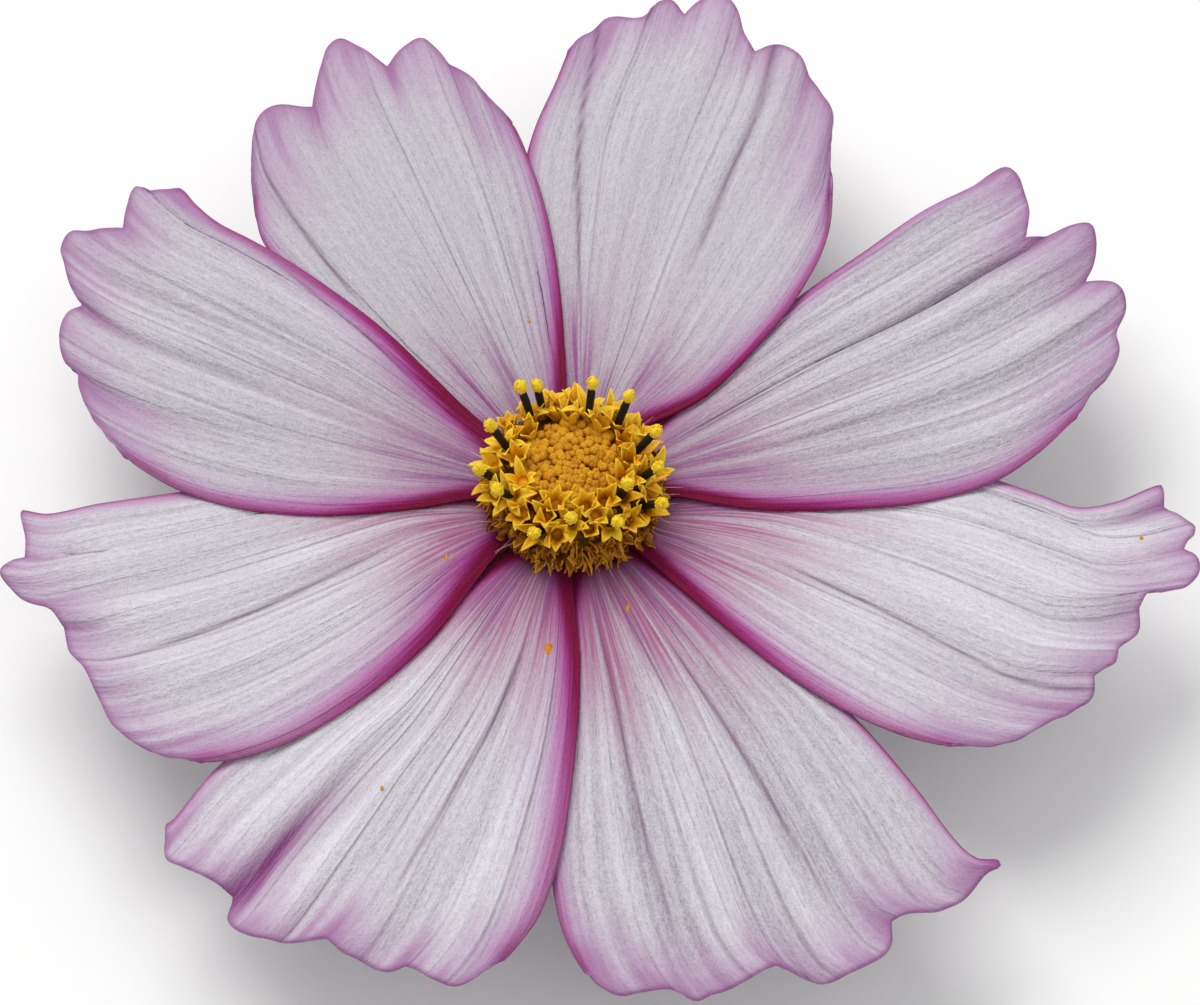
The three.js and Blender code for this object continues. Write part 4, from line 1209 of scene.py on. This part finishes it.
class CosmosPetalSettings(bpy.types.PropertyGroup):
    """Sizes and colours of the petals."""

    thickness: bpy.props.FloatProperty(
        name="Thickness", description="Thickness of a petal at its claw", default=0.0003, unit="LENGTH"
    )
    # The ridge and furrow colours paint the relief's light and shade as well as the tissue's streaks.
    light_colour: colour_property("Ridges", "sRGB colour of the pale ridges", "#DCD9E1")
    body_colour: colour_property("Body", "sRGB colour of the blade", "#C1BCC5")
    shade_colour: colour_property("Furrows", "sRGB colour of the furrows between ridges", "#958D99")
    lilac_colour: colour_property("Lilac", "sRGB colour beside the rim", "#B28CB3")
    flush_colour: colour_property("Flush", "sRGB colour that runs out from the claw", "#A8648C")
    mauve_colour: colour_property("Mauve", "sRGB colour of the streaks from notches and claw", "#94548C")
    vein_colour: colour_property("Veins", "sRGB colour of veins and creases", "#6C4A6A")
    magenta_colour: colour_property("Rim", "sRGB colour of the rim", "#A80C92")
    # The maroon of the rim's edge and of the claw is partly painted shade.
    maroon_and_shade_colour: colour_property("Edge", "sRGB colour of the rim's very edge and the claw", "#760338")


class CosmosDiscSettings(bpy.types.PropertyGroup):
    """Colours of the disc's florets."""

    # The shade colours are painted shade between and down in the florets and in their folds; the highlight
    # colours are painted highlight on their tops, tips and edges.
    bud_shade: colour_property("Buds, deep", "sRGB colour between the buds", "#6E3A00")
    bud_body: colour_property("Buds", "sRGB colour of the buds", "#AC6C08")
    bud_highlight: colour_property("Buds, light", "sRGB colour of the buds' tops", "#DCA01E")
    lobe_shade: colour_property("Lobes, deep", "sRGB colour in the open florets' throats", "#8E4C00")
    lobe_body: colour_property("Lobes", "sRGB colour of the open florets' lobes", "#DA980A")
    lobe_highlight: colour_property("Lobes, light", "sRGB colour of the lobes' tips", "#F8CC32")
    pollen_body: colour_property("Pollen", "sRGB colour of the pollen", "#EFC20E")
    old_shade: colour_property("Old florets, deep", "sRGB colour of the folds of the old florets", "#1E0C00")
    old_body: colour_property("Old florets", "sRGB colour of the withered florets", "#783A06")
    old_highlight: colour_property("Old florets, light", "sRGB colour of their edges", "#D4941E")


class CosmosGreenSettings(bpy.types.PropertyGroup):
    """Colours of the bracts and the stalk."""

    outer_body: colour_property("Outer bracts", "sRGB colour of the green outer bracts", "#6C8741")
    inner_body: colour_property("Inner bracts", "sRGB colour of the papery inner bracts", "#B7A265")
    stalk_body: colour_property("Stalk", "sRGB colour of the stalk", "#7C8F4A")


class CosmosStageSettings(bpy.types.PropertyGroup):
    """The floor, the light and the camera."""

    floor_colour: colour_property("Floor", "sRGB colour of the floor", "#F4F4F4")
    lens: bpy.props.FloatProperty(
        name="Lens", description="Focal length", default=184.8, subtype="DISTANCE_CAMERA"
    )


# ---- Operators -------------------------------------------------------------------------------------

class COSMOS_OT_add_petals(bpy.types.Operator):
    """Adds the eight petals and the grains of pollen that have fallen on them"""

    bl_idname = "cosmos.add_petals"
    bl_label = "Petals"

    def execute(self, context):
        settings = context.scene.cosmos_petals
        material = petal_material(settings)
        parts = {}
        for name, petal in PETALS.items():
            parts[name] = petal_part(name, petal, settings.thickness / MM)
            piece = make_piece(name + "_blade", parts[name], material, replaces=[name])
        fallen = floret_material("fallen_pollen", "#B8640C", "#D88818", "#F0AE30", 0.75)
        specks = specks_part(parts, np.random.default_rng(SEED + 70))
        piece = make_piece("pollen_specks", specks, fallen)
        return {"FINISHED"}


class COSMOS_OT_add_core(bpy.types.Operator):
    """Adds the receptacle under the florets"""

    bl_idname = "cosmos.add_core"
    bl_label = "Receptacle"

    def execute(self, context):
        material = floret_material("receptacle_tissue", "#4A2802", "#94600A", "#B88014", 0.7)
        piece = make_piece("receptacle", core_part(), material, replaces=["disc_florets"])
        return {"FINISHED"}


class COSMOS_OT_add_florets(bpy.types.Operator):
    """Adds the buds, the open florets, their anthers and pollen, and the withered florets"""

    bl_idname = "cosmos.add_florets"
    bl_label = "Florets"

    def execute(self, context):
        settings = context.scene.cosmos_disc
        random = np.random.default_rng(SEED)
        buds = floret_material("bud_tissue", settings.bud_shade, settings.bud_body, settings.bud_highlight, 0.5)
        lobes = floret_material(
            "lobe_tissue", settings.lobe_shade, settings.lobe_body, settings.lobe_highlight, 0.42
        )
        old = floret_material("dried_tissue", settings.old_shade, settings.old_body, settings.old_highlight, 0.6)
        pollen = floret_material("pollen", "#CE9608", settings.pollen_body, "#FBE046", 0.75)
        for name, part, material in (
            ("buds", buds_part(random), buds),
            ("open_florets", corollas_part(random), lobes),
            ("anther_tubes", anthers_part(), anther_material()),
            ("pollen_knobs", pollen_part(random), pollen),
            ("withered_florets", withered_part(random), old),
        ):
            piece = make_piece(name, part, material, replaces=["disc_florets"])
        return {"FINISHED"}


class COSMOS_OT_add_hairs(bpy.types.Operator):
    """Adds the stiff hairs round the disc"""

    bl_idname = "cosmos.add_hairs"
    bl_label = "Hairs"

    def execute(self, context):
        material = floret_material("dry_hair", "#8C5A30", "#D8BE8C", "#F2E8D0", 0.5)
        piece = make_piece("disc_hairs", hairs_part(np.random.default_rng(SEED + 50)), material)
        return {"FINISHED"}


class COSMOS_OT_add_bracts(bpy.types.Operator):
    """Adds the papery inner bracts and the green outer ones"""

    bl_idname = "cosmos.add_bracts"
    bl_label = "Bracts"

    def execute(self, context):
        settings = context.scene.cosmos_green
        random = np.random.default_rng(SEED + 60)
        papery = leaf_material("papery_bract", "#8A7440", settings.inner_body, "#E4DAB4", 0.55, 30)
        green = leaf_material("green_bract", "#3F5A24", settings.outer_body, "#8A9A58", 0.5, 16)
        piece = make_piece("inner_bract_ring", inner_bracts_part(random), papery, replaces=["inner_bracts"])
        piece = make_piece("outer_bract_ring", outer_bracts_part(random), green, replaces=["outer_bracts"])
        return {"FINISHED"}


class COSMOS_OT_add_stalk(bpy.types.Operator):
    """Adds the stalk's cut stub"""

    bl_idname = "cosmos.add_stalk"
    bl_label = "Stalk"

    def execute(self, context):
        settings = context.scene.cosmos_green
        body = settings.stalk_body
        material = leaf_material("green_stalk", "#4F6A2C", body, body, 0.5, 40)
        piece = make_piece("cut_stalk", stalk_part(), material, replaces=["stalk_stub"])
        return {"FINISHED"}


# The stage, in metres: the floor's half width, the middle of the flower, where the lights point, and the
# camera's place from the flower's axis and its tilt from straight down.
FLOOR_REACH = 4.0
LIT_POINT = (0, 0, 0.01)
SKY_STRENGTH = 0.585
CAMERA_PLACE = (0.001753, -0.21227, 0.34733)
CAMERA_TILT = math.radians(32.0)


def area_light(name, place, size, power, colour):
    """A square area light at a place, turned to the flower, in metres and watts."""
    light = bpy.data.lights.new(name, "AREA")
    light.shape, light.size, light.energy, light.color = "SQUARE", size, power, colour
    lamp = bpy.data.objects.new(name, light)
    lamp.location = place
    lamp.rotation_euler = (Vector(LIT_POINT) - Vector(place)).to_track_quat("-Z", "Y").to_euler()
    bpy.context.scene.collection.objects.link(lamp)


class COSMOS_OT_add_stage(bpy.types.Operator):
    """Adds the floor, the light and the camera"""

    bl_idname = "cosmos.add_stage"
    bl_label = "Stage"

    def execute(self, context):
        settings = context.scene.cosmos_stage
        scene = context.scene

        # Seamless matt card: it gives the soft shadow and nothing else.
        material, tree = new_material("white_card")
        add_surface(
            tree, {"Base Color": linear(settings.floor_colour), "Roughness": 0.9, "Specular IOR Level": 0.2}
        )
        floor = bpy.data.meshes.new("floor")
        corners = [(x * FLOOR_REACH, y * FLOOR_REACH, 0) for x, y in ((-1, -1), (1, -1), (1, 1), (-1, 1))]
        floor.from_pydata(corners, [], [(0, 1, 2, 3)])
        floor.materials.append(material)
        card = bpy.data.objects.new("floor", floor)
        scene.collection.objects.link(card)

        # Plain sRGB display, so that the white card stays white and the magenta and gold stay strong.
        scene.view_settings.view_transform = "Standard"

        world = bpy.data.worlds.new("studio")
        scene.world = world
        world.use_nodes = True
        background = world.node_tree.nodes["Background"]
        background.inputs["Color"].default_value = (1.0, 1.0, 1.0, 1.0)
        background.inputs["Strength"].default_value = SKY_STRENGTH
        area_light("key", (-0.16, 0.26, 0.50), 0.42, 2.35, (1.0, 0.99, 0.97))
        area_light("fill", (0.30, -0.30, 0.45), 0.60, 0.5, (0.96, 0.98, 1.0))

        camera = bpy.data.cameras.new("camera")
        camera.sensor_fit, camera.sensor_width, camera.lens = "HORIZONTAL", 36.0, settings.lens
        camera.clip_start, camera.clip_end = 0.01, 20.0
        eye = bpy.data.objects.new("camera", camera)
        eye.location = Vector(AXIS) + Vector(CAMERA_PLACE)
        eye.rotation_euler = (CAMERA_TILT, 0.0, 0.0)
        scene.collection.objects.link(eye)
        scene.camera = eye
        return {"FINISHED"}


class COSMOS_PT_panel(bpy.types.Panel):
    """Lists the operators in the sidebar"""

    bl_label = "Cosmos flower"
    bl_space_type = "VIEW_3D"
    bl_region_type = "UI"
    bl_category = "Cosmos"

    def draw(self, context):
        for operator in OPERATORS:
            self.layout.operator(operator.bl_idname)


OPERATORS = (
    COSMOS_OT_add_stage, COSMOS_OT_add_petals, COSMOS_OT_add_core, COSMOS_OT_add_florets,
    COSMOS_OT_add_hairs, COSMOS_OT_add_bracts, COSMOS_OT_add_stalk,
)
SETTINGS = {
    "cosmos_petals": CosmosPetalSettings,
    "cosmos_disc": CosmosDiscSettings,
    "cosmos_green": CosmosGreenSettings,
    "cosmos_stage": CosmosStageSettings,
}


def register():
    for made in (*SETTINGS.values(), *OPERATORS, COSMOS_PT_panel):
        bpy.utils.register_class(made)
    for name, group in SETTINGS.items():
        setattr(bpy.types.Scene, name, bpy.props.PointerProperty(type=group))


def unregister():
    for name in SETTINGS:
        delattr(bpy.types.Scene, name)
    for made in reversed((*SETTINGS.values(), *OPERATORS, COSMOS_PT_panel)):
        bpy.utils.unregister_class(made)


def main():
    register()
    bpy.ops.cosmos.add_stage()
    bpy.ops.cosmos.add_petals()
    bpy.ops.cosmos.add_core()
    bpy.ops.cosmos.add_florets()
    bpy.ops.cosmos.add_hairs()
    bpy.ops.cosmos.add_bracts()
    bpy.ops.cosmos.add_stalk()


if __name__ == "__main__":
    main()
